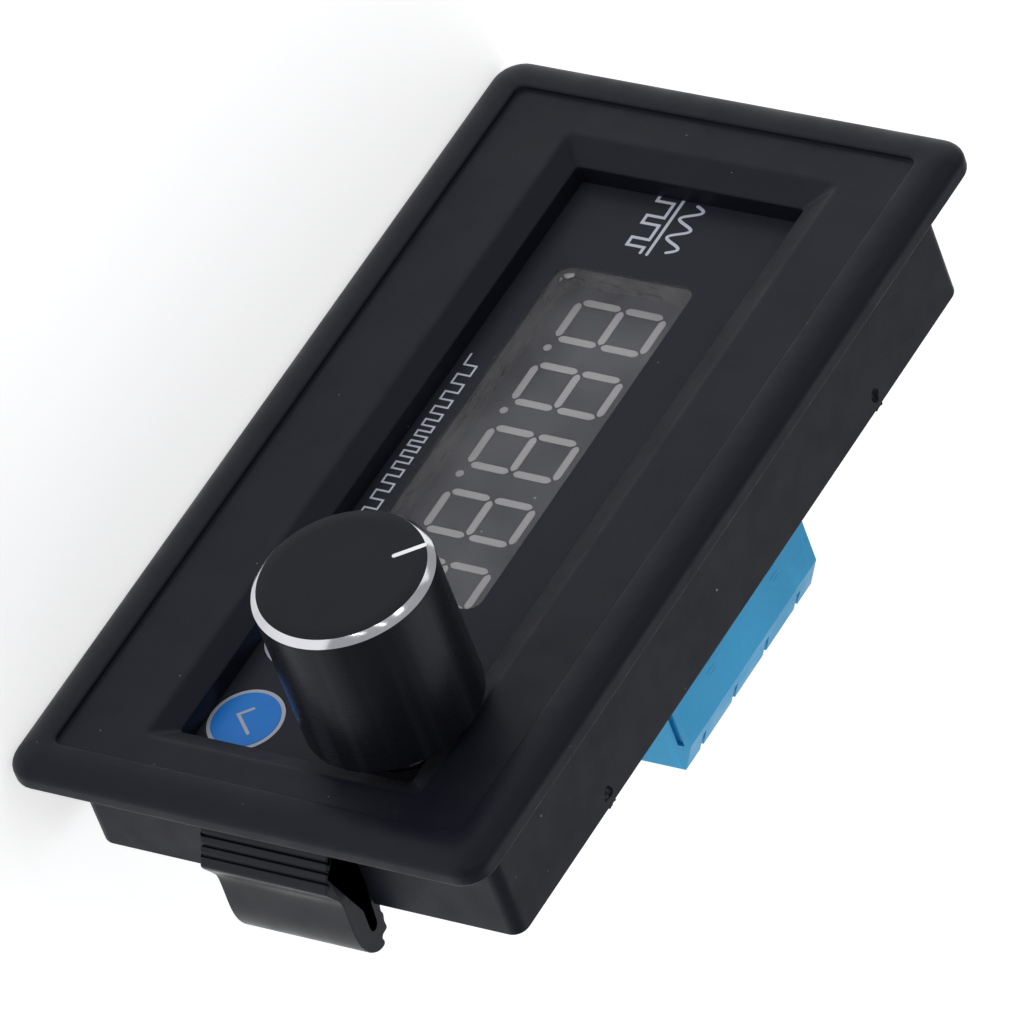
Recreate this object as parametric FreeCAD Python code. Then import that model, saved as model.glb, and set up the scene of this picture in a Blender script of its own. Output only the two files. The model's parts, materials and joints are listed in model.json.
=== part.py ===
import FreeCAD, Part
import os, math
from FreeCAD import Vector as V, Rotation, Placement, Matrix

# Panel-mount frequency counter.
# Frame: X to the right seen from the front, Y rearwards, Z up; millimetres.
# Origin: centre of the flange's rear face, the plane that seats on the panel.

# ---------------------------------------------------------------- dimensions
FL_W, FL_H = 79.0, 43.0            # flange
FL_FRONT = -2.3                    # crest of the rim
FL_R = 2.4                         # flange corner radius
RIM_W = 3.2                        # rim width, outer edge to recess step
RIM_EDGE_R = 1.35                  # rounding of the rim's outer edge
RECESS_Y = -1.85                   # recessed flat of the face
BODY_HW, BODY_HH = 35.1, 19.2      # body half width and half height
BODY_REAR = 10.3
BODY_R = 1.2
WALL = 1.8
PLATE_BACK = 0.9                   # rear of the face plate
WX0, WX1, WZ0, WZ1 = -30.4, 31.6, -9.9, 10.9      # face opening
BX0, BX1, BZ0, BZ1 = -32.6, 33.5, -11.7, 13.1     # outer edge of the opening's bevel
OPEN_Y = -0.8                      # where the bevel ends and the straight wall starts
FILM_T = 0.3                       # overlay film
CARRIER_T = 1.75                   # rigid plate behind the film
FX0, FX1, FZ0, FZ1 = -32.2, 33.1, -11.6, 12.8     # film and carrier outline
DX0, DX1, DZ0, DZ1 = -21.9, 13.3, -7.05, 5.45       # clear display window
DWIN_R = 1.2
LED_X, LED_Z = -4.44, -1.22          # display centre
LED_W, LED_H = 36.0, 12.4
LED_FACE = 3.3
DIGIT_PITCH, DIGIT_H, DIGIT_W = 6.965, 8.5, 4.69
DIGIT_SLANT = math.radians(0.9)
SEG_T = 0.70
PCB_Y0, PCB_Y1 = 9.2, 10.8
PCB_HW, PCB_HH = 33.0, 17.1
ENC_X, ENC_Z = 26.2, 6.9           # encoder axis
ENC_W, ENC_H = 12.0, 11.7
BUSH_R, BUSH_FRONT = 3.5, -2.2
SHAFT_R, SHAFT_FRONT, SHAFT_BACK = 3.0, -14.6, 7.6
SHAFT_BORE_R = 3.05
KNOB_R, KNOB_BACK, KNOB_FRONT = 7.12, -2.75, -16.5
KNOB_RING = 0.52                   # bright chamfer at the front edge
PUSH_TRAVEL = 0.5
KEY_R, KEY_GAP = 3.125, 0.06
OK_X, OK_Z = 27.95, -6.72
SET_X, SET_Z = 19.10, -6.72
KEY_TRAVEL = 0.25
SW = 6.0
TB_PITCH = 5.08
TB_X = -3.45                       # middle of the two joined terminal blocks
TB_Z0, TB_Z1 = 7.0, 15.0
TB_REAR = 23.0
TB_CH_Y, TB_CH_Z = 20.0, 13.6      # the chamfer between upper face and rear face
TS_Z = 11.4                        # terminal screw axis height
TS_HOLE_R, TS_HEAD_R, TS_SHANK_R = 2.0, 1.88, 1.2
CLAMP_TRAVEL = 1.8
CLIP_HZ = 5.75                     # half width of a side clip
PIV_X, PIV_Y = 34.8, 12.9          # where the clip's spring leaf bends

os.makedirs("parts", exist_ok=True)


def save(shape, name):
    solids = shape.Solids
    assert solids, name
    for s in solids:
        assert s.isValid() and s.Volume > 0, name
    out = solids[0] if len(solids) == 1 else Part.makeCompound(solids)
    out.exportStep("parts/%s.step" % name)
    print("%-24s solids %3d  volume %9.3f" % (name, len(solids), sum(s.Volume for s in solids)))


def box(x0, x1, y0, y1, z0, z1):
    return Part.makeBox(x1 - x0, y1 - y0, z1 - z0, V(x0, y0, z0))


def cyl_y(r, y0, y1, x, z):
    return Part.makeCylinder(r, y1 - y0, V(x, y0, z), V(0, 1, 0))


def cyl_z(r, z0, z1, x, y):
    return Part.makeCylinder(r, z1 - z0, V(x, y, z0), V(0, 0, 1))


def round_rect_y(x0, x1, z0, z1, r, y0, y1):
    """Rectangle in XZ with rounded corners, from y0 to y1."""
    b = box(x0, x1, y0, y1, z0, z1)
    edges = [e for e in b.Edges if abs(e.Vertexes[0].X - e.Vertexes[1].X) < 1e-6
             and abs(e.Vertexes[0].Z - e.Vertexes[1].Z) < 1e-6]
    return b.makeFillet(r, edges)


def prism_z(points, z0, z1):
    w = Part.makePolygon([V(x, y, z0) for x, y in points] + [V(points[0][0], points[0][1], z0)])
    return Part.Face(w).extrude(V(0, 0, z1 - z0))


def prism_x(points, x0, x1):
    """points are (y, z)."""
    w = Part.makePolygon([V(x0, y, z) for y, z in points] + [V(x0, points[0][0], points[0][1])])
    return Part.Face(w).extrude(V(x1 - x0, 0, 0))


def prism_y(points, y0, y1):
    """points are (x, z)."""
    w = Part.makePolygon([V(x, y0, z) for x, z in points] + [V(points[0][0], y0, points[0][1])])
    return Part.Face(w).extrude(V(0, y1 - y0, 0))


def frustum_y(x0, x1, z0, z1, ya, X0, X1, Z0, Z1, yb):
    a = Part.makePolygon([V(x0, ya, z0), V(x1, ya, z0), V(x1, ya, z1), V(x0, ya, z1), V(x0, ya, z0)])
    b = Part.makePolygon([V(X0, yb, Z0), V(X1, yb, Z0), V(X1, yb, Z1), V(X0, yb, Z1), V(X0, yb, Z0)])
    return Part.makeLoft([a, b], True, True)


def mirror_x(s):
    return s.mirror(V(0, 0, 0), V(1, 0, 0))


# ------------------------------------------------------------- front housing
hw, hh = FL_W / 2, FL_H / 2
flange = round_rect_y(-hw, hw, -hh, hh, FL_R, FL_FRONT, 0)
front_edges = [e for e in flange.Edges
               if all(abs(v.Y - FL_FRONT) < 1e-6 for v in e.Vertexes)]
flange = flange.makeFillet(RIM_EDGE_R, front_edges)
body = round_rect_y(-BODY_HW, BODY_HW, -BODY_HH, BODY_HH, BODY_R, -0.4, BODY_REAR)
housing = flange.fuse(body)
housing = housing.cut(round_rect_y(-hw + RIM_W, hw - RIM_W, -hh + RIM_W, hh - RIM_W, 0.8,
                                   FL_FRONT - 1, RECESS_Y))
housing = housing.cut(frustum_y(BX0, BX1, BZ0, BZ1, RECESS_Y - 0.0, WX0, WX1, WZ0, WZ1, OPEN_Y))
housing = housing.cut(box(WX0, WX1, OPEN_Y - 0.01, PLATE_BACK + 1, WZ0, WZ1))
iw, ih = BODY_HW - WALL, BODY_HH - WALL
housing = housing.cut(round_rect_y(-iw, iw, -ih, ih, 0.6, PLATE_BACK, BODY_REAR + 1))
# pockets in the end walls for the side clips
for s in (1, -1):
    x0, x1 = sorted((s * (iw - 0.3), s * (BODY_HW + 0.02)))
    housing = housing.cut(box(x0, x1, PLATE_BACK, BODY_REAR + 1, -CLIP_HZ - 0.2, CLIP_HZ + 0.2))
# corner posts that carry the circuit board
for sx in (1, -1):
    for sz in (1, -1):
        xa, xb = sorted((sx * (iw + 0.2), sx * (iw - 2.2)))
        za, zb = sorted((sz * (ih + 0.2), sz * (ih - 2.4)))
        housing = housing.fuse(box(xa, xb, PLATE_BACK - 0.2, PCB_Y0, za, zb))
# melted beads on the long walls' rear edges that keep the board in
for bx in (-22.0, 20.8):
    for sz in (1, -1):
        housing = housing.fuse(Part.makeSphere(0.55, V(bx, BODY_REAR + 0.18, sz * (BODY_HH - 0.62))))
        housing = housing.cut(Part.makeSphere(0.62, V(bx + 0.3, BODY_REAR - 1.25, sz * (BODY_HH + 0.34))))
housing = housing.removeSplitter()
save(housing, "front_housing")

# ------------------------------------------------------------ overlay layers
fy0, fy1 = PLATE_BACK, PLATE_BACK + FILM_T
cy0, cy1 = fy1, fy1 + CARRIER_T
film = round_rect_y(FX0, FX1, FZ0, FZ1, 0.8, fy0, fy1)
film = film.cut(round_rect_y(DX0, DX1, DZ0, DZ1, DWIN_R, fy0 - 1, fy1 + 1))
for kx, kz in ((OK_X, OK_Z), (SET_X, SET_Z)):
    film = film.cut(cyl_y(KEY_R + KEY_GAP, fy0 - 1, fy1 + 1, kx, kz))
film = film.cut(cyl_y(BUSH_R + 0.15, fy0 - 1, fy1 + 1, ENC_X, ENC_Z))
save(film, "overlay_film")

save(round_rect_y(DX0, DX1, DZ0, DZ1, DWIN_R, fy0, fy1), "display_window")

SX0, SX1, SZ0, SZ1 = DX0 - 1.2, DX1 + 1.2, DZ0 - 1.2, DZ1 + 1.2
carrier = round_rect_y(FX0, FX1, FZ0, FZ1, 0.8, cy0, cy1)
carrier = carrier.cut(box(SX0, SX1, cy0 - 1, cy1 + 1, SZ0, SZ1))
for kx, kz in ((OK_X, OK_Z), (SET_X, SET_Z)):
    carrier = carrier.cut(cyl_y(KEY_R + 0.25, cy0 - 1, cy1 + 1, kx, kz))
carrier = carrier.cut(cyl_y(BUSH_R + 0.15, cy0 - 1, cy1 + 1, ENC_X, ENC_Z))
save(carrier, "overlay_carrier")

spacer = box(SX0, SX1, cy0, LED_FACE, SZ0, SZ1).cut(
    round_rect_y(DX0, DX1, DZ0, DZ1, DWIN_R, cy0 - 1, LED_FACE + 1))
save(spacer, "display_spacer")

# ------------------------------------------------------------------- display
led = box(LED_X - LED_W / 2, LED_X + LED_W / 2, LED_FACE, PCB_Y0, LED_Z - LED_H / 2, LED_Z + LED_H / 2)
led_edges = [e for e in led.Edges if abs(e.Vertexes[0].X - e.Vertexes[1].X) < 1e-6
             and abs(e.Vertexes[0].Z - e.Vertexes[1].Z) < 1e-6]
led = led.makeFillet(0.3, led_edges)
led = led.cut(box(LED_X - LED_W / 2 - 1, LED_X + LED_W / 2 + 1, PCB_Y0 - 0.5, PCB_Y0 + 1,
                  LED_Z - LED_H / 2 + 2.4, LED_Z + LED_H / 2 - 2.4))
segs = []
a = DIGIT_W / 2
h = DIGIT_H / 2
t = SEG_T / 2
g = 0.11
ta = math.tan(DIGIT_SLANT)


def hexa_h(zc):
    return [(-a + t + g, zc), (-a + 2 * t + g, zc + t), (a - 2 * t - g, zc + t), (a - t - g, zc),
            (a - 2 * t - g, zc - t), (-a + 2 * t + g, zc - t)]


def hexa_v(xc, z0, z1):
    return [(xc, z0 + t * 0.2 + g), (xc + t, z0 + 1.2 * t + g), (xc + t, z1 - 1.2 * t - g), (xc, z1 - t * 0.2 - g),
            (xc - t, z1 - 1.2 * t - g), (xc - t, z0 + 1.2 * t + g)]


shapes = [hexa_h(h - t), hexa_h(0.0), hexa_h(-h + t),
          hexa_v(-a + t, 0.0, h - t), hexa_v(a - t, 0.0, h - t),
          hexa_v(-a + t, -h + t, 0.0), hexa_v(a - t, -h + t, 0.0)]
seg_faces = []
for i in range(5):
    cx = LED_X + (i - 2) * DIGIT_PITCH
    for pts in shapes:
        q = [(cx + x + z * ta, LED_Z + z) for x, z in pts]
        segs.append(prism_y(q, LED_FACE - 0.04, LED_FACE + 0.4))
    dx, dz = cx + 3.09, LED_Z - 4.06
    segs.append(cyl_y(0.36, LED_FACE - 0.04, LED_FACE + 0.4, dx, dz))
for s in segs:
    led = led.cut(s)
save(led, "led_display")
save(Part.makeCompound(segs), "segment_diffusers")

pin_rows = (LED_Z + 3.81, LED_Z - 3.81)
pins = []
pin_xz = []
for z in pin_rows:
    for k in range(7):
        x = LED_X + (k - 3) * 2.54
        pin_xz.append((x, z))
        pins.append(cyl_y(0.25, PCB_Y0, PCB_Y1 + 1.1, x, z))
save(Part.makeCompound(pins), "display_pins")

# ------------------------------------------------------------------- encoder
enc = box(ENC_X - ENC_W / 2, ENC_X + ENC_W / 2, cy1, PCB_Y0, ENC_Z - ENC_H / 2, ENC_Z + ENC_H / 2)
enc_edges = [e for e in enc.Edges if abs(e.Vertexes[0].X - e.Vertexes[1].X) < 1e-6
             and abs(e.Vertexes[0].Z - e.Vertexes[1].Z) < 1e-6]
enc = enc.makeFillet(0.5, enc_edges)
enc = enc.cut(cyl_y(4.75, 4.4, 8.8, ENC_X, ENC_Z))
enc = enc.cut(cyl_y(BUSH_R + 1.2, cy1 - 1, 4.5, ENC_X, ENC_Z))
save(enc, "encoder_body")
bush = cyl_y(BUSH_R, BUSH_FRONT, 4.4, ENC_X, ENC_Z).fuse(cyl_y(BUSH_R + 1.2, cy1, 4.4, ENC_X, ENC_Z))
bush = bush.cut(cyl_y(SHAFT_BORE_R, BUSH_FRONT - 1, 6, ENC_X, ENC_Z))
for k in range(5):
    yy = BUSH_FRONT + 0.45 + k * 0.7
    ring = cyl_y(BUSH_R + 0.1, yy, yy + 0.22, ENC_X, ENC_Z).cut(cyl_y(BUSH_R - 0.14, yy - 0.1, yy + 0.4, ENC_X, ENC_Z))
    bush = bush.cut(ring)
save(bush, "encoder_bushing")
# shaft with a flat on its front half, keyed in the rotor by a flat on the tail
FLAT_Z = 1.5
TAIL_FLAT = 2.2
shaft = cyl_y(SHAFT_R, SHAFT_FRONT, SHAFT_BACK, ENC_X, ENC_Z)
shaft = shaft.cut(box(ENC_X - 4, ENC_X + 4, SHAFT_FRONT - 1, -5.6, ENC_Z + FLAT_Z, ENC_Z + 4))
shaft = shaft.cut(box(ENC_X - 4, ENC_X + 4, 4.5, SHAFT_BACK + 1, ENC_Z + TAIL_FLAT, ENC_Z + 4))
save(shaft, "encoder_shaft")
rotor = cyl_y(4.45, 5.3, 6.6, ENC_X, ENC_Z)
key_hole = cyl_y(SHAFT_BORE_R, 5, 7, ENC_X, ENC_Z).cut(
    box(ENC_X - 4, ENC_X + 4, 4.9, 7.1, ENC_Z + TAIL_FLAT + 0.05, ENC_Z + 4))
rotor = rotor.cut(key_hole)
for k in range(20):
    an = math.radians(18 * k)
    rotor = rotor.cut(cyl_y(0.32, 5.2, 5.75, ENC_X + 3.9 * math.cos(an), ENC_Z + 3.9 * math.sin(an)))
save(rotor, "encoder_rotor")
epins = []
ep_xz = []
for dx in (-2.5, 0, 2.5):
    ep_xz.append((ENC_X + dx, ENC_Z - 5.3))
for dx in (-2.5, 2.5):
    ep_xz.append((ENC_X + dx, ENC_Z + 5.3))
for x, z in ep_xz:
    epins.append(cyl_y(0.4, PCB_Y0, PCB_Y1 + 1.0, x, z))
save(Part.makeCompound(epins), "encoder_pins")

# ---------------------------------------------------------------------- knob
knob = cyl_y(KNOB_R, KNOB_FRONT, KNOB_BACK, ENC_X, ENC_Z)
fe = [e for e in knob.Edges if all(abs(v.Y - KNOB_FRONT) < 1e-6 for v in e.Vertexes) and e.Curve.TypeId == 'Part::GeomCircle']
knob = knob.makeChamfer(KNOB_RING, fe)
be = [e for e in knob.Edges if all(abs(v.Y - KNOB_BACK) < 1e-6 for v in e.Vertexes) and e.Curve.TypeId == 'Part::GeomCircle']
knob = knob.makeChamfer(0.25, be)
knob = knob.cut(cyl_y(5.1, -15.2, KNOB_BACK + 1, ENC_X, ENC_Z))
# pointer groove on the front face, 132 degrees from +X
PANG = math.radians(132.0)
ptr = box(3.95, 6.55, KNOB_FRONT, KNOB_FRONT + 0.12, -0.2, 0.2)
ptr.rotate(V(0, 0, 0), V(0, 1, 0), -math.degrees(PANG))
ptr.translate(V(ENC_X, 0, ENC_Z))
knob = knob.cut(ptr)
save(knob, "knob_shell")
save(ptr, "knob_pointer")
insert = cyl_y(5.1, -15.2, -5.4, ENC_X, ENC_Z)
bore = cyl_y(SHAFT_R, SHAFT_FRONT, -5, ENC_X, ENC_Z).cut(
    box(ENC_X - 4, ENC_X + 4, SHAFT_FRONT - 1, -5.62, ENC_Z + FLAT_Z, ENC_Z + 4))
insert = insert.cut(bore)
for an in (45, 135, 225, 315):
    b = box(3.7, 5.2, -15.0, -5.0, -0.35, 0.35)
    b.rotate(V(0, 0, 0), V(0, 1, 0), an)
    b.translate(V(ENC_X, 0, ENC_Z))
    insert = insert.cut(b)
save(insert, "knob_insert")

# ------------------------------------------------------------- keys, switches
for name, kx, kz in (("ok", OK_X, OK_Z), ("set", SET_X, SET_Z)):
    cap = cyl_y(KEY_R, fy0, fy0 + 0.75, kx, kz)
    cap = cap.fuse(cyl_y(1.6, fy0 + 0.5, 4.55, kx, kz)).removeSplitter()
    save(cap, name + "_key")
    plunger = cyl_y(1.72, 4.55, 6.3, kx, kz)
    save(plunger, name + "_switch_plunger")
    sw = box(kx - SW / 2, kx + SW / 2, 5.6, PCB_Y0, kz - SW / 2, kz + SW / 2)
    sw = sw.cut(cyl_y(1.79, 5.0, 6.9, kx, kz))
    corner = [e for e in sw.Edges if abs(e.Vertexes[0].X - e.Vertexes[-1].X) < 1e-6
              and abs(e.Vertexes[0].Z - e.Vertexes[-1].Z) < 1e-6 and e.Length > 3.0 and e.Curve.TypeId == 'Part::GeomLine'
              and abs(abs(e.Vertexes[0].X - kx) - SW / 2) < 1e-6]
    sw = sw.makeFillet(0.4, corner)
    save(sw, name + "_switch_body")

# ------------------------------------------------------------ terminal blocks
prof = [(PCB_Y1, TB_Z0), (TB_REAR, TB_Z0), (TB_REAR, TB_CH_Z), (TB_CH_Y, TB_Z1), (PCB_Y1, TB_Z1)]
poles = [TB_X + (k - 1.5) * TB_PITCH for k in range(4)]
bounds = (TB_X - 2 * TB_PITCH, TB_X, TB_X + 2 * TB_PITCH)
CH_X, CH_Z0, CH_Z1 = 2.06, TB_Z0 + 1.2, 13.9
clamp_y0, clamp_y1 = 12.9, 17.9
for j, name in enumerate(("terminal_block_left", "terminal_block_right")):
    x0, x1 = bounds[j], bounds[j + 1]
    blk = prism_x(prof, x0, x1)
    for p in poles[2 * j:2 * j + 2]:
        blk = blk.cut(cyl_y(TS_HOLE_R, 20.85, TB_REAR + 1, p, TS_Z))
        blk = blk.cut(cyl_y(1.5, 19.5, 21.5, p, TS_Z))
        blk = blk.cut(box(p - CH_X, p + CH_X, 12.4, 20.0, CH_Z0, CH_Z1))
        blk = blk.cut(box(p - 0.62, p + 0.62, PCB_Y1 - 1, 12.5, 13.3, 13.9))
        blk = blk.cut(Part.makeCylinder(1.75, 3.0, V(p, 14.9, TB_Z0 - 1), V(0, 0, 1)))
        # narrow notch across the chamfer above each screw
        blk = blk.cut(box(p - 0.28, p + 0.28, 21.2, TB_REAR + 1, 12.9, 15.2))
    # dovetail groove on the right side, tongue on the left
    groove = prism_y([(x1 - 0.36, 13.6), (x1 + 0.01, 13.75), (x1 + 0.01, 14.35), (x1 - 0.36, 14.5)], PCB_Y1 - 1, 20.2)
    tongue = prism_y([(x0 - 0.28, 13.66), (x0 + 0.01, 13.8), (x0 + 0.01, 14.3), (x0 - 0.28, 14.44)], PCB_Y1 + 0.3, 20.0)
    blk = blk.cut(groove).fuse(tongue)
    save(blk.removeSplitter(), name)

clamp_z0, clamp_z1 = 8.4, 13.2
tpins = []
tp_xz = []
for k, p in enumerate(poles):
    head = cyl_y(TS_HEAD_R, 20.9, 22.6, p, TS_Z)
    head = head.fuse(cyl_y(TS_SHANK_R, 17.1, 21.0, p, TS_Z))
    slot_a = box(-3, 3, 21.9, 23, -0.3, 0.3)
    slot_a.rotate(V(0, 0, 0), V(0, 1, 0), (12, 74, 145, 33)[k])
    slot_a.translate(V(p, 0, TS_Z))
    save(head.cut(slot_a).removeSplitter(), "terminal_screw_%d" % (k + 1))
    cage = box(p - 1.92, p + 1.92, clamp_y0, clamp_y1, clamp_z0, clamp_z1)
    cage = cage.cut(box(p - 1.42, p + 1.42, clamp_y0 + 0.6, clamp_y1 - 0.8, clamp_z0 - 1, clamp_z1 + 1))
    cage = cage.cut(cyl_y(TS_SHANK_R + 0.06, clamp_y0 + 2, clamp_y1 + 1, p, TS_Z))
    save(cage, "wire_clamp_%d" % (k + 1))
    bar = box(p - 1.2, p + 1.2, 16.2, 16.95, 8.6, 13.4).fuse(box(p - 0.55, p + 0.55, PCB_Y0 + 0.2, 16.95, 13.35, 13.85))
    tp_xz.append(p)
    tpins.append(bar.removeSplitter())
save(Part.makeCompound(tpins), "terminal_contacts")

# ----------------------------------------------------------------- main board
pcb = round_rect_y(-PCB_HW, PCB_HW, -PCB_HH, PCB_HH, 1.0, PCB_Y0, PCB_Y1)
for x, z in pin_xz:
    pcb = pcb.cut(cyl_y(0.27, PCB_Y0 - 1, PCB_Y1 + 1, x, z))
for x, z in ep_xz:
    pcb = pcb.cut(cyl_y(0.43, PCB_Y0 - 1, PCB_Y1 + 1, x, z))
for p in tp_xz:
    pcb = pcb.cut(box(p - 0.6, p + 0.6, PCB_Y0 - 1, PCB_Y1 + 1, 13.3, 13.9))
sw_xz = []
for kx, kz in ((OK_X, OK_Z), (SET_X, SET_Z)):
    for sx in (-1, 1):
        for sz in (-1, 1):
            sw_xz.append((kx + sx * 2.6, kz + sz * 2.25))
spins = []
for x, z in sw_xz:
    pcb = pcb.cut(cyl_y(0.35, PCB_Y0 - 1, PCB_Y1 + 1, x, z))
    spins.append(cyl_y(0.32, PCB_Y0, PCB_Y1 + 0.9, x, z))
save(pcb, "main_board")
save(Part.makeCompound(spins), "switch_pins")


def chip(x, z, w, hgt, thick, y=PCB_Y1, lead_side="z", leads=0, pitch=1.27, lead_w=0.4, lead_l=0.9):
    """Moulded package on the rear of the board with short lead feet."""
    b = box(x - w / 2, x + w / 2, y + 0.1, y + thick, z - hgt / 2, z + hgt / 2)
    top = [e for e in b.Edges if all(abs(v.Y - (y + thick)) < 1e-6 for v in e.Vertexes)]
    b = b.makeChamfer(0.12, top)
    out = [b]
    for k in range(leads):
        o = (k - (leads - 1) / 2) * pitch
        if lead_side in ("z", "both"):
            for s in (1, -1):
                z0, z1 = sorted((z + s * hgt / 2, z + s * (hgt / 2 + lead_l)))
                out.append(box(x + o - lead_w / 2, x + o + lead_w / 2, y, y + 0.25, z0, z1))
        if lead_side in ("x", "both"):
            for s in (1, -1):
                x0, x1 = sorted((x + s * w / 2, x + s * (w / 2 + lead_l)))
                out.append(box(x0, x1, y, y + 0.25, z + o - lead_w / 2, z + o + lead_w / 2))
    return Part.makeCompound(out)


save(chip(10.2, -3.0, 6.9, 6.9, 1.5, leads=8, lead_side="both", pitch=0.8, lead_w=0.3, lead_l=0.9), "microcontroller")
save(chip(-5.0, -10.4, 10.2, 3.9, 1.6, leads=8, lead_side="z", pitch=1.27, lead_w=0.42, lead_l=1.0), "display_driver")
save(chip(-24.2, 9.6, 6.4, 5.8, 2.2, leads=3, lead_side="z", pitch=2.28, lead_w=0.75, lead_l=1.4), "voltage_regulator")
save(chip(-24.6, 1.6, 4.4, 2.7, 2.1, leads=1, lead_side="x", pitch=1.27, lead_w=1.5, lead_l=0.5), "protection_diode")
xtal = round_rect_y(9.0, 19.6, -15.8, -11.6, 1.9, PCB_Y1 + 0.5, PCB_Y1 + 3.4)
xtal = xtal.fuse(round_rect_y(8.6, 20.0, -16.2, -11.2, 2.2, PCB_Y1, PCB_Y1 + 0.5)).removeSplitter()
save(xtal, "crystal")
cap = cyl_y(3.0, PCB_Y1 + 0.9, PCB_Y1 + 5.4, -24.4, -7.4)
cap = cap.fuse(box(-27.6, -21.2, PCB_Y1, PCB_Y1 + 0.9, -10.6, -4.2)).removeSplitter()
save(cap, "smoothing_capacitor")
res, caps = [], []
for x, z in ((-17.0, 9.8), (-17.0, 12.2), (9.6, 9.4), (9.6, 12.0), (11.8, 3.6), (15.0, 4.2), (5.0, -13.6),
             (5.0, -11.2), (-15.6, -13.0), (-15.6, -10.6)):
    res.append(box(x - 0.8, x + 0.8, PCB_Y1, PCB_Y1 + 0.5, z - 0.4, z + 0.4))
for x, z in ((-19.4, 4.6), (22.6, -10.6), (22.6, -13.4), (17.4, 1.0), (3.8, -8.6), (-18.2, -2.0), (12.8, 9.0)):
    caps.append(box(x - 0.5, x + 0.5, PCB_Y1, PCB_Y1 + 0.8, z - 0.8, z + 0.8))
save(Part.makeCompound(res), "chip_resistors")
save(Part.makeCompound(caps), "chip_capacitors")

# ---------------------------------------------------------------- side clips
# anchor leaf: fixed in the end wall, round at its rear end
PR = 0.65
anchor = prism_z([(34.15, PLATE_BACK), (34.9, PLATE_BACK), (34.95, 6.8), (35.1, 8.2), (35.35, 10.3), (35.45, 12.2),
                  (35.45, PIV_Y), (34.15, PIV_Y)], -CLIP_HZ, CLIP_HZ)
anchor = anchor.fuse(cyl_z(PR, -CLIP_HZ, CLIP_HZ, PIV_X, PIV_Y))
anchor = anchor.fuse(box(33.35, 34.2, PLATE_BACK, 3.4, -CLIP_HZ, CLIP_HZ)).removeSplitter()
# spring leaf: a ramp with three grooves that widens away from the flange, a shoulder, the straight leaf, the return bend
UX, UY = 0.509, 0.861                  # along the ramp
NX, NY = 0.861, -0.509                 # out of the ramp
pts = [(36.42, 1.25), (36.85, 1.2), (37.06, 1.42), (37.18, 1.95)]
for gx, gy in ((37.77, 2.95), (38.19, 3.66), (38.61, 4.37)):
    for along, depth in ((-0.17, 0.0), (-0.09, 0.24), (0.09, 0.24), (0.17, 0.0)):
        pts.append((gx + along * UX - depth * NX, gy + along * UY - depth * NY))
pts += [(38.96, 4.98), (39.06, 5.12), (39.05, 5.3), (38.9, 5.6), (38.62, 6.05), (38.25, 6.7), (37.98, 7.25), (37.88, 7.8),
        (37.9, 9.2), (37.95, 10.4), (37.92, 11.4), (37.78, 12.2), (37.52, 12.95), (37.15, 13.6), (36.7, 14.08),
        (36.2, 14.36), (35.65, 14.46), (35.36, 14.36), (35.28, 14.08), (35.34, 13.85), (35.15, 13.74),
        (35.0, 13.3), (35.1, 12.6), (35.7, 12.3), (36.08, 12.0), (36.12, 11.5), (36.05, 10.4), (36.0, 8.0), (35.98, 6.6),
        (36.1, 4.0)]
leaf = prism_z(pts, -CLIP_HZ, CLIP_HZ)
leaf = leaf.cut(cyl_z(PR + 0.07, -CLIP_HZ - 1, CLIP_HZ + 1, PIV_X, PIV_Y))
# room for the anchor leaf over the whole flex
room = prism_z([(33.0, 11.5), (35.85, 11.5), (35.62, 12.75), (PIV_X, PIV_Y + 0.1), (33.95, 13.15), (33.0, 13.3)], -CLIP_HZ - 1, CLIP_HZ + 1)
leaf = leaf.cut(room)
save(anchor, "clip_anchor_right")
save(leaf, "clip_leaf_right")
save(mirror_x(anchor), "clip_anchor_left")
save(mirror_x(leaf), "clip_leaf_left")
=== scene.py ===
import bpy, bmesh, json, math, random
from mathutils import Vector, Matrix


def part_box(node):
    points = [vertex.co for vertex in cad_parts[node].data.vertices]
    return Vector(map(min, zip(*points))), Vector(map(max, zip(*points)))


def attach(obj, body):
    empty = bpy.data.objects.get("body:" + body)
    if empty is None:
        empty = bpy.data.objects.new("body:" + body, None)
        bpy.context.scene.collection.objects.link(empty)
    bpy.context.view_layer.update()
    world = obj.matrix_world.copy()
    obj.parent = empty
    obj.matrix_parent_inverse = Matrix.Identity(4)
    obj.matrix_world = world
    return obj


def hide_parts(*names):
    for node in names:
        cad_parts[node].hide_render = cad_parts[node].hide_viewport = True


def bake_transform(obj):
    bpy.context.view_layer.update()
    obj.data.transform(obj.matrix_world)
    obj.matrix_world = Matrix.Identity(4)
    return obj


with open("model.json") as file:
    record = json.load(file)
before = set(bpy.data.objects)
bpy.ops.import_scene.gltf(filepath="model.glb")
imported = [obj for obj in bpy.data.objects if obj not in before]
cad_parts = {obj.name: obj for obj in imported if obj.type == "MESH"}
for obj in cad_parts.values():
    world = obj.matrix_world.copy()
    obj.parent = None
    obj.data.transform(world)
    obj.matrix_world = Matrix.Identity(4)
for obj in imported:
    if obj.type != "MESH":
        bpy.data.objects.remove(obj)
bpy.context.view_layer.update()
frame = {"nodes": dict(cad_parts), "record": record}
N = frame["nodes"]
MM = 0.001
SLOT_OF = {s["node"]: s["material_slot"] for s in frame["record"]["subparts"]}

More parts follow.
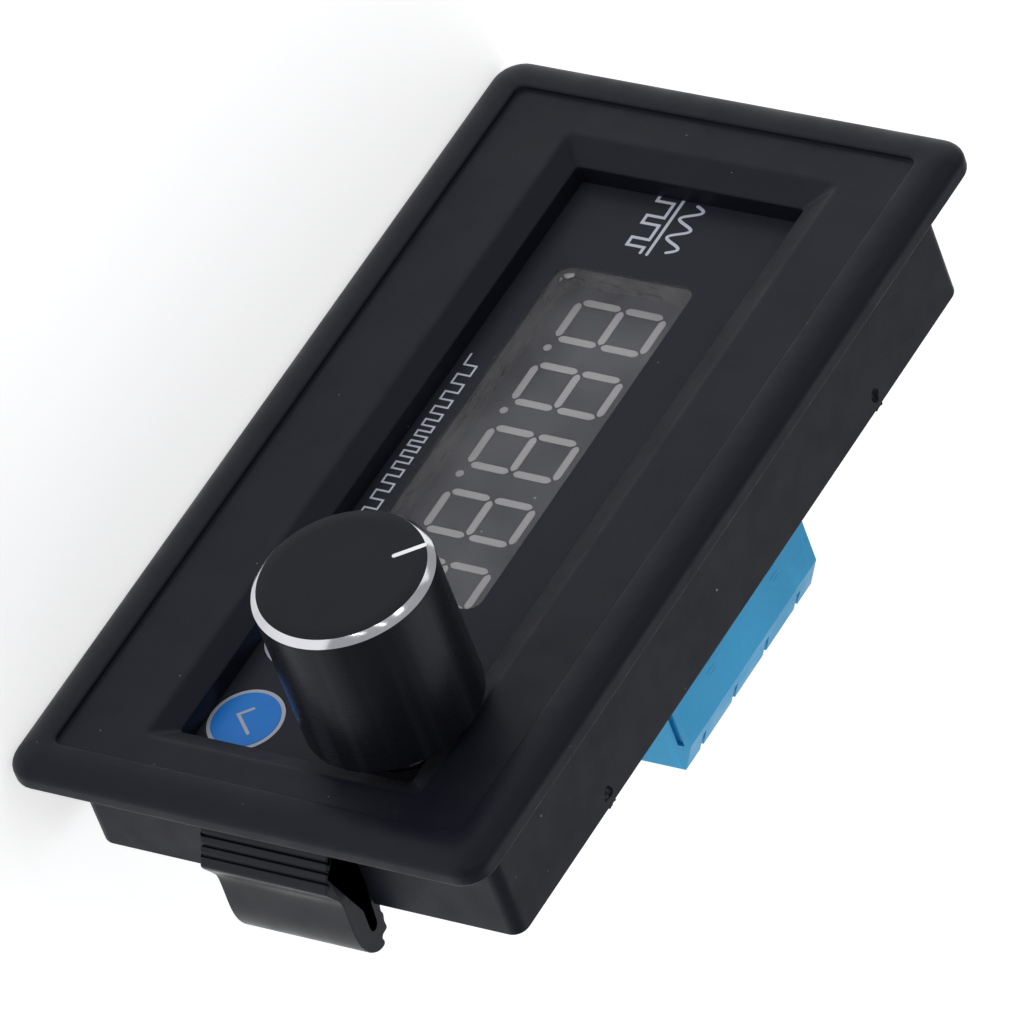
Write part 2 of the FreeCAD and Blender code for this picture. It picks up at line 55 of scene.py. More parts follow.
# ------------------------------------------------------------ key positions, mm
lo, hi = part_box("knob_shell")
EX, EZ = 1000 * (lo.x + hi.x) / 2, 1000 * (lo.z + hi.z) / 2
KNOB_R, KNOB_FRONT, KNOB_BACK = 1000 * (hi.x - lo.x) / 2, 1000 * lo.y, 1000 * hi.y
lo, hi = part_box("ok_key")
OKX, OKZ, KEY_R, KEY_Y = 1000 * (lo.x + hi.x) / 2, 1000 * (lo.z + hi.z) / 2, 1000 * (hi.x - lo.x) / 2, 1000 * lo.y
lo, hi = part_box("set_key")
STX, STZ = 1000 * (lo.x + hi.x) / 2, 1000 * (lo.z + hi.z) / 2
lo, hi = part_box("display_window")
DX0, DX1, DZ0, DZ1 = 1000 * lo.x, 1000 * hi.x, 1000 * lo.z, 1000 * hi.z
lo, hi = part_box("overlay_film")
FILM_Y = 1000 * lo.y
lo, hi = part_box("led_display")
LX, LZ, LW, LH, LED_FACE, LED_BACK = (1000 * (lo.x + hi.x) / 2, 1000 * (lo.z + hi.z) / 2, 1000 * (hi.x - lo.x),
                                      1000 * (hi.z - lo.z), 1000 * lo.y, 1000 * hi.y)
lo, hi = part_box("main_board")
PCB_Y1 = 1000 * hi.y
lo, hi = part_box("front_housing")
HW, HH = 1000 * hi.x, 1000 * hi.z
rng = random.Random(7)


# ------------------------------------------------------------ mesh helpers
def finish_mesh(me, sharp=35.0):
    bm = bmesh.new()
    bm.from_mesh(me)
    bmesh.ops.recalc_face_normals(bm, faces=bm.faces)
    for f in bm.faces:
        f.smooth = True
    for e in bm.edges:
        e.smooth = not (len(e.link_faces) == 2 and e.calc_face_angle(0.0) > math.radians(sharp))
    bm.to_mesh(me)
    bm.free()


def mk(name, verts, faces, body, mats, sharp=35.0, face_mat=None, ride=True):
    """verts in millimetres."""
    me = bpy.data.meshes.new(name)
    me.from_pydata([(v[0] * MM, v[1] * MM, v[2] * MM) for v in verts], [], faces)
    for m in (mats if isinstance(mats, (list, tuple)) else [mats]):
        me.materials.append(m)
    if face_mat:
        for p, k in zip(me.polygons, face_mat):
            p.material_index = k
    finish_mesh(me, sharp)
    ob = bpy.data.objects.new(name, me)
    bpy.context.scene.collection.objects.link(ob)
    if ride:
        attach(ob, body)
    return ob


def bake(ob, sharp=None):
    """Applies the modifiers to the mesh."""
    dg = bpy.context.evaluated_depsgraph_get()
    me = bpy.data.meshes.new_from_object(ob.evaluated_get(dg))
    old = ob.data
    ob.modifiers.clear()
    ob.data = me
    bpy.data.meshes.remove(old)
    if sharp:
        finish_mesh(ob.data, sharp)


def weighted(ob):
    m = ob.modifiers.new("wn", "WEIGHTED_NORMAL")
    m.keep_sharp = True
    m.weight = 60


def soften(ob, width=0.12, seg=2, angle=35.0, planar=True):
    """Rounds the edges of a carried-over node without touching its mesh."""
    if planar:
        d = ob.modifiers.new("flat", "DECIMATE")
        d.decimate_type = "DISSOLVE"
        d.angle_limit = math.radians(1.0)
    b = ob.modifiers.new("edge", "BEVEL")
    b.width = width * MM
    b.segments = seg
    b.limit_method = "ANGLE"
    b.angle_limit = math.radians(angle)
    b.use_clamp_overlap = True
    b.harden_normals = True


def loop(x0, x1, z0, z1, r, y, k=8):
    pts = []
    for cx, cz, a0 in ((x1 - r, z1 - r, 0), (x0 + r, z1 - r, 90), (x0 + r, z0 + r, 180), (x1 - r, z0 + r, 270)):
        for i in range(k + 1):
            a = math.radians(a0 + 90.0 * i / k)
            pts.append((cx + r * math.cos(a), y, cz + r * math.sin(a)))
    return pts


def loft(loops, closed=False, cap0=False, cap1=False):
    n = len(loops[0])
    verts = [p for l in loops for p in l]
    faces = []
    m = len(loops)
    for i in range(m if closed else m - 1):
        a, b = i * n, ((i + 1) % m) * n
        for j in range(n):
            j2 = (j + 1) % n
            faces.append((a + j, a + j2, b + j2, b + j))
    if cap0:
        faces.append(tuple(range(n)))
    if cap1:
        faces.append(tuple((m - 1) * n + j for j in reversed(range(n))))
    return verts, faces


def lathe(profile, cx, cz, n=160, close_ends=True):
    """profile of (r, y); turned about the Y axis through (cx, cz)."""
    verts, faces, rows = [], [], []
    for r, y in profile:
        if r < 1e-6:
            rows.append([len(verts)])
            verts.append((cx, y, cz))
        else:
            rows.append(list(range(len(verts), len(verts) + n)))
            for j in range(n):
                a = 2 * math.pi * j / n
                verts.append((cx + r * math.cos(a), y, cz + r * math.sin(a)))
    tags = []
    for i in range(len(rows) - 1):
        A, B = rows[i], rows[i + 1]
        for j in range(n):
            j2 = (j + 1) % n
            if len(A) == 1 and len(B) == 1:
                continue
            if len(A) == 1:
                faces.append((A[0], B[j2], B[j]))
            elif len(B) == 1:
                faces.append((A[j], A[j2], B[0]))
            else:
                faces.append((A[j], A[j2], B[j2], B[j]))
            tags.append(i)
    return verts, faces, tags


def prism(polys, y0, y1):
    """polys of (x, z); closed solids from y0 to y1."""
    verts, faces = [], []
    for poly in polys:
        b = len(verts)
        n = len(poly)
        verts += [(x, y0, z) for x, z in poly] + [(x, y1, z) for x, z in poly]
        faces.append(tuple(b + i for i in range(n)))
        faces.append(tuple(b + n + i for i in reversed(range(n))))
        for i in range(n):
            j = (i + 1) % n
            faces.append((b + i, b + n + i, b + n + j, b + j))
    return verts, faces


def ribbon(points, w, cap=5):
    """Outline of a stroke of width w along an open polyline, round ends."""
    h = w / 2
    n = len(points)
    P = [Vector((p[0], p[1])) for p in points]
    D = [(P[i + 1] - P[i]).normalized() for i in range(n - 1)]
    left, right = [], []
    for i in range(n):
        if i == 0:
            nrm = Vector((-D[0].y, D[0].x))
            off = nrm * h
        elif i == n - 1:
            nrm = Vector((-D[-1].y, D[-1].x))
            off = nrm * h
        else:
            n1 = Vector((-D[i - 1].y, D[i - 1].x))
            n2 = Vector((-D[i].y, D[i].x))
            m = (n1 + n2)
            m.normalize()
            off = m * (h / max(0.35, m.dot(n1)))
        left.append(P[i] + off)
        right.append(P[i] - off)
    out = []
    a0 = math.atan2(D[-1].y, D[-1].x)
    out += [(p.x, p.y) for p in left]
    for k in range(1, cap):
        a = a0 + math.pi / 2 - math.pi * k / cap
        out.append((P[-1].x + h * math.cos(a), P[-1].y + h * math.sin(a)))
    out += [(p.x, p.y) for p in reversed(right)]
    a0 = math.atan2(D[0].y, D[0].x)
    for k in range(1, cap):
        a = a0 - math.pi / 2 - math.pi * k / cap
        out.append((P[0].x + h * math.cos(a), P[0].y + h * math.sin(a)))
    return out


def round_poly(points, r, k=3):
    out = []
    n = len(points)
    for i in range(n):
        p = Vector(points[i])
        a = (Vector(points[i - 1]) - p)
        b = (Vector(points[(i + 1) % n]) - p)
        rr = min(r, 0.45 * a.length, 0.45 * b.length)
        s, e = p + a.normalized() * rr, p + b.normalized() * rr
        for j in range(k + 1):
            t = j / k
            q = (1 - t) ** 2 * s + 2 * t * (1 - t) * p + t * t * e
            out.append((q.x, q.y))
    return out


def disc(cx, cz, r, n=40):
    return [(cx + r * math.cos(2 * math.pi * i / n), cz + r * math.sin(2 * math.pi * i / n)) for i in range(n)]


# ------------------------------------------------------------ materials
class Mat:
    def __init__(self, name):
        self.m = bpy.data.materials.new(name)
        self.m.use_nodes = True
        self.nt = self.m.node_tree
        self.nt.nodes.clear()
        self.out = self.nt.nodes.new("ShaderNodeOutputMaterial")
        self.b = self.nt.nodes.new("ShaderNodeBsdfPrincipled")
        self.nt.links.new(self.b.outputs[0], self.out.inputs[0])
        self.tc = self.nt.nodes.new("ShaderNodeTexCoord")
        self.co = self.tc.outputs["Object"]

    def node(self, kind, **props):
        n = self.nt.nodes.new(kind)
        for k, v in props.items():
            setattr(n, k, v)
        return n

    def link(self, a, b):
        self.nt.links.new(a, b)

    def noise(self, scale, detail=3.0, rough=0.55, stretch=None):
        src = self.co
        if stretch:
            mp = self.node("ShaderNodeMapping")
            mp.inputs["Scale"].default_value = stretch
            self.link(src, mp.inputs["Vector"])
            src = mp.outputs[0]
        n = self.node("ShaderNodeTexNoise")
        n.inputs["Scale"].default_value = scale
        n.inputs["Detail"].default_value = detail
        n.inputs["Roughness"].default_value = rough
        self.link(src, n.inputs["Vector"])
        return n.outputs["Fac"]

    def ramp(self, fac, a, b, lo=0.0, hi=1.0):
        r = self.node("ShaderNodeMapRange")
        r.inputs["From Min"].default_value = a
        r.inputs["From Max"].default_value = b
        r.inputs["To Min"].default_value = lo
        r.inputs["To Max"].default_value = hi
        self.link(fac, r.inputs["Value"])
        return r.outputs[0]

    def math(self, op, a, b=None):
        n = self.node("ShaderNodeMath", operation=op)
        for k, v in enumerate((a, b)):
            if v is None:
                continue
            if isinstance(v, (int, float)):
                n.inputs[k].default_value = v
            else:
                self.link(v, n.inputs[k])
        return n.outputs[0]

    def mix(self, fac, a, b):
        n = self.node("ShaderNodeMix", data_type="RGBA")
        if isinstance(fac, (int, float)):
            n.inputs[0].default_value = fac
        else:
            self.link(fac, n.inputs[0])
        for k, v in ((6, a), (7, b)):
            if isinstance(v, (tuple, list)):
                n.inputs[k].default_value = (*v[:3], 1.0)
            else:
                self.link(v, n.inputs[k])
        return n.outputs[2]

    def specks(self, scale, size, keep):
        """Sparse small dots: 1 on a dot, 0 elsewhere."""
        v = self.node("ShaderNodeTexVoronoi")
        v.inputs["Scale"].default_value = scale
        self.link(self.co, v.inputs["Vector"])
        near = self.ramp(v.outputs["Distance"], size, size * 0.45)
        sep = self.node("ShaderNodeSeparateColor")
        self.link(v.outputs["Color"], sep.inputs[0])
        some = self.ramp(sep.outputs[0], keep, keep + 0.01)
        return self.math("MULTIPLY", near, some)

    def bump(self, heights, distance=0.00002):
        """heights: list of (socket, strength)."""
        prev = None
        for h, s in heights:
            n = self.node("ShaderNodeBump")
            n.inputs["Strength"].default_value = s
            n.inputs["Distance"].default_value = distance
            self.link(h, n.inputs["Height"])
            if prev:
                self.link(prev, n.inputs["Normal"])
            prev = n.outputs[0]
        self.link(prev, self.b.inputs["Normal"])

    def xyz(self):
        s = self.node("ShaderNodeSeparateXYZ")
        self.link(self.co, s.inputs[0])
        return s.outputs

    def set(self, **k):
        for n, v in k.items():
            self.b.inputs[n.replace("_", " ")].default_value = v


def plastic(name, color, rough=0.42, var=0.18, grain=0.25, grain_scale=9000.0, dust=0.0, dust_col=(0.42, 0.42, 0.40),
            spec=0.5, rvar=0.08, scuff=0.0):
    M = Mat(name)
    c = Vector(color)
    wide = M.noise(45.0, 4.0)
    fine = M.noise(1400.0, 3.0)
    base = M.mix(M.ramp(wide, 0.3, 0.7), tuple(c * (1 - var)), tuple(c * (1 + var)))
    base = M.mix(M.ramp(fine, 0.35, 0.75, 0.0, 0.35), base, tuple(c * (1 + 1.2 * var)))
    if scuff:
        s = M.noise(260.0, 5.0, 0.6, (1.0, 0.25, 3.0))
        base = M.mix(M.ramp(s, 0.62, 0.78, 0.0, scuff), base, tuple(c * 1.6 + Vector((0.01, 0.01, 0.01))))
    if dust:
        d = M.specks(420.0, 0.05, 1 - dust)
        base = M.mix(d, base, dust_col)
        d2 = M.specks(1500.0, 0.10, 1 - dust * 0.5)
        base = M.mix(d2, base, tuple(Vector(dust_col) * 0.6))
    M.link(base, M.b.inputs["Base Color"])
    M.link(M.ramp(M.noise(320.0, 4.0), 0.3, 0.7, rough - rvar, rough + rvar), M.b.inputs["Roughness"])
    M.set(Specular_IOR_Level=spec, Specular_Tint=(0.90, 0.93, 1.0, 1.0))
    M.bump([(M.noise(grain_scale, 2.0), grain), (M.noise(700.0, 2.0), grain * 0.35)])
    return M.m


def metal(name, color, rough=0.28, var=0.12, brush=None, metallic=1.0, tarnish=0.15, grain=0.2):
    M = Mat(name)
    c = Vector(color)
    base = M.mix(M.ramp(M.noise(300.0, 4.0), 0.3, 0.7), tuple(c * (1 - var)), tuple(c * min(1 + var, 1.0 / max(c))))
    base = M.mix(M.ramp(M.noise(900.0, 5.0), 0.55, 0.8, 0.0, tarnish), base, tuple(c * 0.5))
    M.link(base, M.b.inputs["Base Color"])
    M.set(Metallic=metallic)
    n = M.noise(2600.0, 3.0, 0.6, brush) if brush else M.noise(2600.0, 3.0)
    M.link(M.ramp(n, 0.3, 0.7, rough * 0.75, rough * 1.3), M.b.inputs["Roughness"])
    M.bump([(n, grain)], 0.00001)
    return M.m


m_house = plastic("housing_plastic", (0.0080, 0.0086, 0.0142), rough=0.43, var=0.12, grain=0.22, dust=0.035, scuff=0.10, spec=0.175)
m_clip = plastic("clip_plastic", (0.0092, 0.0095, 0.0135), rough=0.34, var=0.12, grain=0.15, dust=0.02, scuff=0.12, spec=0.22)
m_film = plastic("overlay_print", (0.0225, 0.0238, 0.0310), rough=0.36, var=0.08, grain=0.10, grain_scale=4000.0, dust=0.06, spec=0.07)
m_carrier = plastic("carrier_plastic", (0.02, 0.02, 0.022), rough=0.3)
m_ink = plastic("pale_ink", (0.47, 0.50, 0.57), rough=0.5, var=0.10, grain=0.2)
m_blue = plastic("key_blue", (0.016, 0.185, 0.600), spec=0.2, rough=0.34, var=0.10, grain=0.12, dust=0.01)
m_keyring = plastic("key_ring", (0.37, 0.39, 0.46), rough=0.38, var=0.08, grain=0.12)
m_rotor = plastic("rotor_plastic", (0.62, 0.60, 0.55), rough=0.4)
m_black = plastic("black_moulding", (0.018, 0.018, 0.019), rough=0.45, dust=0.01)
m_seg = plastic("segment_resin", (0.430, 0.412, 0.410), rough=0.42, var=0.10, grain=0.15, grain_scale=6000.0)
m_face = plastic("display_face", (0.044, 0.044, 0.053), rough=0.50, var=0.05, grain=0.05, grain_scale=2500.0, dust=0.01, spec=0.3)
m_term = plastic("terminal_blue", (0.038, 0.380, 0.700), spec=0.22, rough=0.42, var=0.16, grain=0.18, scuff=0.25, dust=0.01, dust_col=(0.35, 0.5, 0.6))
m_tin = metal("tinned_metal", (0.72, 0.72, 0.73), rough=0.26)
m_encmetal = metal("encoder_metal", (0.58, 0.58, 0.60), rough=0.3, brush=(1.0, 8.0, 1.0))
m_screw = metal("screw_steel", (0.66, 0.66, 0.68), rough=0.24, brush=(1.0, 1.0, 6.0))
m_clamp = metal("clamp_steel", (0.60, 0.60, 0.59), rough=0.3)
m_can = metal("can_metal", (0.70, 0.70, 0.70), rough=0.22, brush=(8.0, 1.0, 1.0))
m_ptr = metal("knob_pointer", (0.80, 0.79, 0.80), rough=0.3, tarnish=0.05)
m_solder = metal("solder", (0.66, 0.67, 0.68), rough=0.2, tarnish=0.25, grain=0.3)
m_silk = plastic("board_print", (0.62, 0.63, 0.60), rough=0.6)
m_enc = plastic("encoder_plastic", (0.02, 0.02, 0.02), rough=0.5)
m_pkg = plastic("package_black", (0.016, 0.016, 0.017), rough=0.52, grain=0.5, grain_scale=6000.0)
m_capc = plastic("capacitor_tan", (0.30, 0.19, 0.10), rough=0.5)
m_res = plastic("resistor_black", (0.02, 0.02, 0.024), rough=0.3)


def knob_black():
    M = Mat("knob_anodised")
    x, y, z = M.xyz()
    dx = M.math("SUBTRACT", x, EX * MM)
    dz = M.math("SUBTRACT", z, EZ * MM)
    r = M.math("SQRT", M.math("ADD", M.math("MULTIPLY", dx, dx), M.math("MULTIPLY", dz, dz)))
    rings = M.math("SINE", M.math("MULTIPLY", r, 2 * math.pi / 0.00009))
    lines = M.math("SINE", M.math("MULTIPLY", y, 2 * math.pi / 0.00011))
    streak = M.noise(2600.0, 4.0, 0.6, (0.25, 6.0, 0.25))
    base = M.mix(M.ramp(M.noise(120.0, 4.0), 0.3, 0.7), (0.0068, 0.0072, 0.0096), (0.0088, 0.0092, 0.0120))
    # lighter bands along the knob's side only (side mask): painted highlight standing in for soft vertical
    # reflections
    side = M.ramp(y, (KNOB_FRONT + 0.30) * MM, (KNOB_FRONT + 1.0) * MM)
    painted_sheen_bands = M.noise(430.0, 3.0, 0.55, (1.0, 0.02, 1.0))
    base = M.mix(M.math("MULTIPLY", M.ramp(painted_sheen_bands, 0.50, 0.68, 0.0, 0.85), side), base, (0.0175, 0.0185, 0.0240))
    base = M.mix(M.specks(500.0, 0.05, 0.975), base, (0.30, 0.30, 0.28))
    M.link(base, M.b.inputs["Base Color"])
    M.link(M.math("SUBTRACT", M.ramp(streak, 0.3, 0.7, 0.31, 0.42), M.math("MULTIPLY", side, 0.08)), M.b.inputs["Roughness"])
    M.set(Specular_IOR_Level=0.14, Specular_Tint=(0.84, 0.88, 1.0, 1.0))
    M.bump([(rings, 0.08), (lines, 0.05), (streak, 0.06), (M.noise(9000.0, 2.0), 0.12)], 0.00001)
    return M.m


def knob_bright():
    M = Mat("knob_cut_edge")
    n = M.noise(2400.0, 3.0, 0.6, (0.4, 5.0, 0.4))
    base = M.mix(M.ramp(M.noise(500.0, 4.0), 0.3, 0.7), (0.63, 0.63, 0.66), (0.72, 0.72, 0.75))
    M.link(base, M.b.inputs["Base Color"])
    M.set(Metallic=1.0)
    M.link(M.ramp(n, 0.3, 0.7, 0.10, 0.17), M.b.inputs["Roughness"])
    M.bump([(n, 0.10)], 0.00001)
    return M.m


def window_film():
    M = Mat("display_window")
    haze = M.noise(180.0, 5.0, 0.6)
    fine = M.noise(5200.0, 3.0, 0.6)
    sp = M.specks(700.0, 0.07, 0.93)
    base = M.mix(M.ramp(haze, 0.3, 0.7), (0.36, 0.36, 0.39), (0.46, 0.46, 0.48))
    base = M.mix(sp, base, (0.85, 0.85, 0.85))
    M.link(base, M.b.inputs["Base Color"])
    a = M.math("ADD", M.ramp(haze, 0.3, 0.75, 0.05, 0.10), M.ramp(fine, 0.5, 0.9, 0.0, 0.03))
    a = M.math("ADD", a, M.math("MULTIPLY", sp, 0.5))
    M.link(a, M.b.inputs["Alpha"])
    M.link(M.ramp(haze, 0.3, 0.7, 0.16, 0.26), M.b.inputs["Roughness"])
    M.set(Specular_IOR_Level=0.3)
    M.bump([(fine, 0.08)], 0.00001)
    return M.m


def spacer_mat():
    M = Mat("spacer_plastic")
    st = M.noise(620.0, 6.0, 0.7, (1.0, 2.6, 1.0))
    fl = M.noise(3400.0, 4.0, 0.7)
    base = M.mix(M.ramp(st, 0.38, 0.66), (0.040, 0.040, 0.047), (0.125, 0.123, 0.134))
    base = M.mix(M.ramp(fl, 0.58, 0.74, 0.0, 0.75), base, (0.32, 0.31, 0.32))
    M.link(base, M.b.inputs["Base Color"])
    M.link(M.ramp(st, 0.3, 0.7, 0.22, 0.5), M.b.inputs["Roughness"])
    M.bump([(st, 0.5), (fl, 0.4)], 0.00004)
    return M.m


def glint_glue_mat():
    M = Mat("glue_painted_glint")
    n = M.noise(1500.0, 4.0)
    # pale base colour on an opaque bead: painted glint
    M.link(M.mix(M.ramp(n, 0.3, 0.7), (0.42, 0.40, 0.39), (0.66, 0.63, 0.62)), M.b.inputs["Base Color"])
    M.link(M.ramp(n, 0.3, 0.7, 0.08, 0.22), M.b.inputs["Roughness"])
    M.bump([(n, 0.5)], 0.00006)
    return M.m


def board_mat():
    M = Mat("circuit_board")
    weave = M.node("ShaderNodeTexBrick")
    mp = M.node("ShaderNodeMapping")
    mp.inputs["Rotation"].default_value = (math.radians(90), 0, 0)
    M.link(M.co, mp.inputs["Vector"])
    M.link(mp.outputs[0], weave.inputs["Vector"])
    weave.inputs["Scale"].default_value = 1600.0
    weave.inputs["Mortar Size"].default_value = 0.08
    base = M.mix(M.ramp(M.noise(160.0, 4.0), 0.3, 0.7), (0.010, 0.085, 0.030), (0.016, 0.125, 0.045))
    base = M.mix(M.ramp(weave.outputs["Fac"], 0.0, 1.0, 0.0, 0.22), base, (0.03, 0.19, 0.07))
    x, y, z = M.xyz()
    ax = M.ramp(M.math("ABSOLUTE", x), 0.03292, 0.03299)
    az = M.ramp(M.math("ABSOLUTE", z), 0.01702, 0.01709)
    edge = M.math("MAXIMUM", ax, az)
    base = M.mix(edge, base, (0.30, 0.27, 0.12))
    M.link(base, M.b.inputs["Base Color"])
    M.link(M.ramp(M.noise(400.0, 3.0), 0.3, 0.7, 0.24, 0.36), M.b.inputs["Roughness"])
    M.bump([(weave.outputs["Fac"], 0.08), (M.noise(800.0, 2.0), 0.15)], 0.00002)
    return M.m


def trace_mat():
    M = Mat("board_trace")
    base = M.mix(M.ramp(M.noise(300.0, 4.0), 0.3, 0.7), (0.020, 0.16, 0.055), (0.03, 0.21, 0.075))
    M.link(base, M.b.inputs["Base Color"])
    M.link(M.ramp(M.noise(700.0, 3.0), 0.3, 0.7, 0.22, 0.34), M.b.inputs["Roughness"])
    M.bump([(M.noise(1800.0, 2.0), 0.15)], 0.00001)
    return M.m


def legs_mat(name, node, body_mat_color, rough, y_leg, inset=0.0, cx=None, cz=None, w=None, h=None):
    """Dark moulding with tinned feet outside the package's outline (row frame, metres)."""
    M = Mat(name)
    x, y, z = M.xyz()
    ax = M.ramp(M.math("ABSOLUTE", M.math("SUBTRACT", x, cx * MM)), w * MM / 2 + 0.00001, w * MM / 2 + 0.00002)
    az = M.ramp(M.math("ABSOLUTE", M.math("SUBTRACT", z, cz * MM)), h * MM / 2 + 0.00001, h * MM / 2 + 0.00002)
    leg = M.math("MAXIMUM", ax, az)
    c = Vector(body_mat_color)
    base = M.mix(M.ramp(M.noise(900.0, 4.0), 0.3, 0.7), tuple(c * 0.8), tuple(c * 1.25))
    base = M.mix(leg, base, (0.66, 0.66, 0.67))
    M.link(base, M.b.inputs["Base Color"])
    M.link(leg, M.b.inputs["Metallic"])
    g = M.noise(6000.0, 3.0)
    M.link(M.ramp(g, 0.3, 0.7, rough - 0.1, rough + 0.1), M.b.inputs["Roughness"])
    M.bump([(g, 0.35)], 0.00002)
    return M.m


m_knob, m_bright = knob_black(), knob_bright()
m_window, m_spacer, m_glue_glint, m_board, m_trace = window_film(), spacer_mat(), glint_glue_mat(), board_mat(), trace_mat()

BY_SLOT = {
    "housing_plastic": m_house, "overlay_print": m_film, "display_window": m_window, "carrier_plastic": m_carrier,
    "spacer_plastic": m_spacer, "display_face": m_face, "segment_resin": m_seg, "tinned_metal": m_tin,
    "encoder_plastic": m_enc, "encoder_metal": m_encmetal, "rotor_plastic": m_rotor, "knob_anodised": m_knob,
    "knob_pointer": m_ptr, "knob_core": m_black, "key_blue": m_keyring, "key_red": m_keyring,
    "plunger_plastic": m_black, "switch_plastic": m_black, "terminal_blue": m_term, "screw_steel": m_screw,
    "clamp_steel": m_clamp, "circuit_board": m_board, "package_black": m_pkg, "can_metal": m_can,
    "capacitor_can": m_can, "resistor_black": m_res, "capacitor_tan": m_capc, "clip_plastic": m_clip}
for name, ob in N.items():
    ob.data.materials.clear()
    ob.data.materials.append(BY_SLOT[SLOT_OF[name]])
    for p in ob.data.polygons:
        p.material_index = 0


def node_mat(name, mat):
    N[name].data.materials.clear()
    N[name].data.materials.append(mat)


for nm, cx, cz, w, h in (("microcontroller", 10.2, -3.0, 6.9, 6.9), ("display_driver", -5.0, -10.4, 10.2, 3.9),
                         ("voltage_regulator", -24.2, 9.6, 6.4, 5.8), ("protection_diode", -24.6, 1.6, 4.4, 2.7)):
    node_mat(nm, legs_mat("package_" + nm, nm, (0.016, 0.016, 0.017), 0.5, 0, cx=cx, cz=cz, w=w, h=h))


# ------------------------------------------------------------ front housing
FR, RW = 2.4, 3.2
BHW, BHH, BREAR, WALL = 35.1, 19.2, 10.3, 1.8
WX0, WX1, WZ0, WZ1 = -30.4, 31.6, -9.9, 10.9
BX0, BX1, BZ0, BZ1 = -32.6, 33.5, -11.7, 13.1
OPEN_Y, REC_Y, CREST = -0.8, -1.85, -2.3
iw, ih = BHW - WALL, BHH - WALL


def L(hw, hh, r, y):
    return loop(-hw, hw, -hh, hh, r, y)


def LWIN(e, r, y):
    return loop(WX0 - e, WX1 + e, WZ0 - e, WZ1 + e, r, y)


def LB(e, r, y):
    return loop(BX0 - e, BX1 + e, BZ0 - e, BZ1 + e, r, y)


loops = [L(iw, ih, 0.6, BREAR - 0.12), L(iw, ih, 0.6, 3.0), L(iw, ih, 0.6, FILM_Y + 0.02)]
loops += [LWIN(1.2, 0.6, FILM_Y + 0.02), LWIN(0.0, 0.28, FILM_Y + 0.02), LWIN(0.0, 0.28, 0.0), LWIN(0.0, 0.28, OPEN_Y + 0.16),
          LWIN(0.015, 0.29, OPEN_Y + 0.08), LWIN(0.06, 0.32, OPEN_Y + 0.01), LWIN(0.14, 0.36, OPEN_Y - 0.05)]
loops += [LB(-0.30, 0.55, REC_Y + 0.165), LB(-0.10, 0.7, REC_Y + 0.07), LB(0.10, 0.8, REC_Y + 0.012), LB(0.40, 0.9, REC_Y)]
rx, rz = HW - RW, HH - RW
for e, y in ((-0.12, REC_Y), (-0.03, REC_Y - 0.02), (0.01, REC_Y - 0.08), (0.02, REC_Y - 0.26), (0.05, REC_Y - 0.33),
             (0.13, REC_Y - 0.385), (0.28, REC_Y - 0.415), (0.55, REC_Y - 0.435)):
    loops.append(L(rx + e, rz + e, 0.8 + max(e, 0), y))
A = 2.35
for k in range(0, 15):
    t = math.radians(90.0 * k / 14)
    d = A - A * math.sin(t)
    y = -0.95 + (CREST + 0.95) * math.cos(t)
    loops.append(L(HW - d, HH - d, max(FR - d * 0.45, 0.9), y))
loops += [L(HW, HH, FR, -0.60), L(HW, HH, FR, -0.27), L(HW - 0.03, HH - 0.03, FR - 0.03, -0.15), L(HW - 0.10, HH - 0.10, FR - 0.08, -0.06), L(HW - 0.20, HH - 0.20, FR - 0.14, -0.015), L(HW - 0.32, HH - 0.32, FR - 0.2, 0.0)]
loops += [L(BHW + 0.25, BHH + 0.25, 1.3, 0.0), L(BHW + 0.06, BHH + 0.06, 1.22, 0.04), L(BHW, BHH, 1.2, 0.2)]
loops += [L(BHW, BHH, 1.2, 5.0), L(BHW, BHH, 1.2, BREAR - 0.2), L(BHW - 0.05, BHH - 0.05, 1.15, BREAR - 0.06),
          L(BHW - 0.17, BHH - 0.17, 1.1, BREAR), L(iw + 0.12, ih + 0.12, 0.65, BREAR), L(iw + 0.03, ih + 0.03, 0.62, BREAR - 0.03)]
v, f = loft(loops, closed=True)
house = mk("housing_shell", v, f, "housing", m_house, 38.0)


def cutter(name, verts, faces):
    me = bpy.data.meshes.new(name)
    me.from_pydata([(a * MM, b * MM, c * MM) for a, b, c in verts], [], faces)
    bm = bmesh.new()
    bm.from_mesh(me)
    bmesh.ops.recalc_face_normals(bm, faces=bm.faces)
    bm.to_mesh(me)
    bm.free()
    ob = bpy.data.objects.new(name, me)
    bpy.context.scene.collection.objects.link(ob)
    return ob


def box_cut(x0, x1, y0, y1, z0, z1, r=0.35):
    """Box with its edges along X rounded."""
    pts = round_poly([(y0, z0), (y1, z0), (y1, z1), (y0, z1)], r, 4)
    n = len(pts)
    verts = [(x0, a, b) for a, b in pts] + [(x1, a, b) for a, b in pts]
    faces = [tuple(range(n)), tuple(reversed(range(n, 2 * n)))]
    faces += [(i, n + i, n + (i + 1) % n, (i + 1) % n) for i in range(n)]
    return verts, faces


def blob(cx, cy, cz, rx_, ry_, rz_, seed, rough=0.18, sub=3):
    bm = bmesh.new()
    bmesh.ops.create_icosphere(bm, subdivisions=sub, radius=1.0)
    q = random.Random(seed)
    ph = [(q.uniform(1.5, 3.5), q.uniform(0, 6), q.uniform(1.5, 3.5), q.uniform(0, 6)) for _ in range(3)]
    verts = []
    for w in bm.verts:
        s = 1.0
        for i, (fa, pa, fb, pb) in enumerate(ph):
            s += rough * 0.5 * math.sin(fa * w.co[i] * 2 + pa) * math.cos(fb * w.co[(i + 1) % 3] * 2 + pb)
        verts.append((cx + rx_ * s * w.co.x, cy + ry_ * s * w.co.y, cz + rz_ * s * w.co.z))
    faces = [tuple(x.index for x in g.verts) for g in bm.faces]
    bm.free()
    return verts, faces


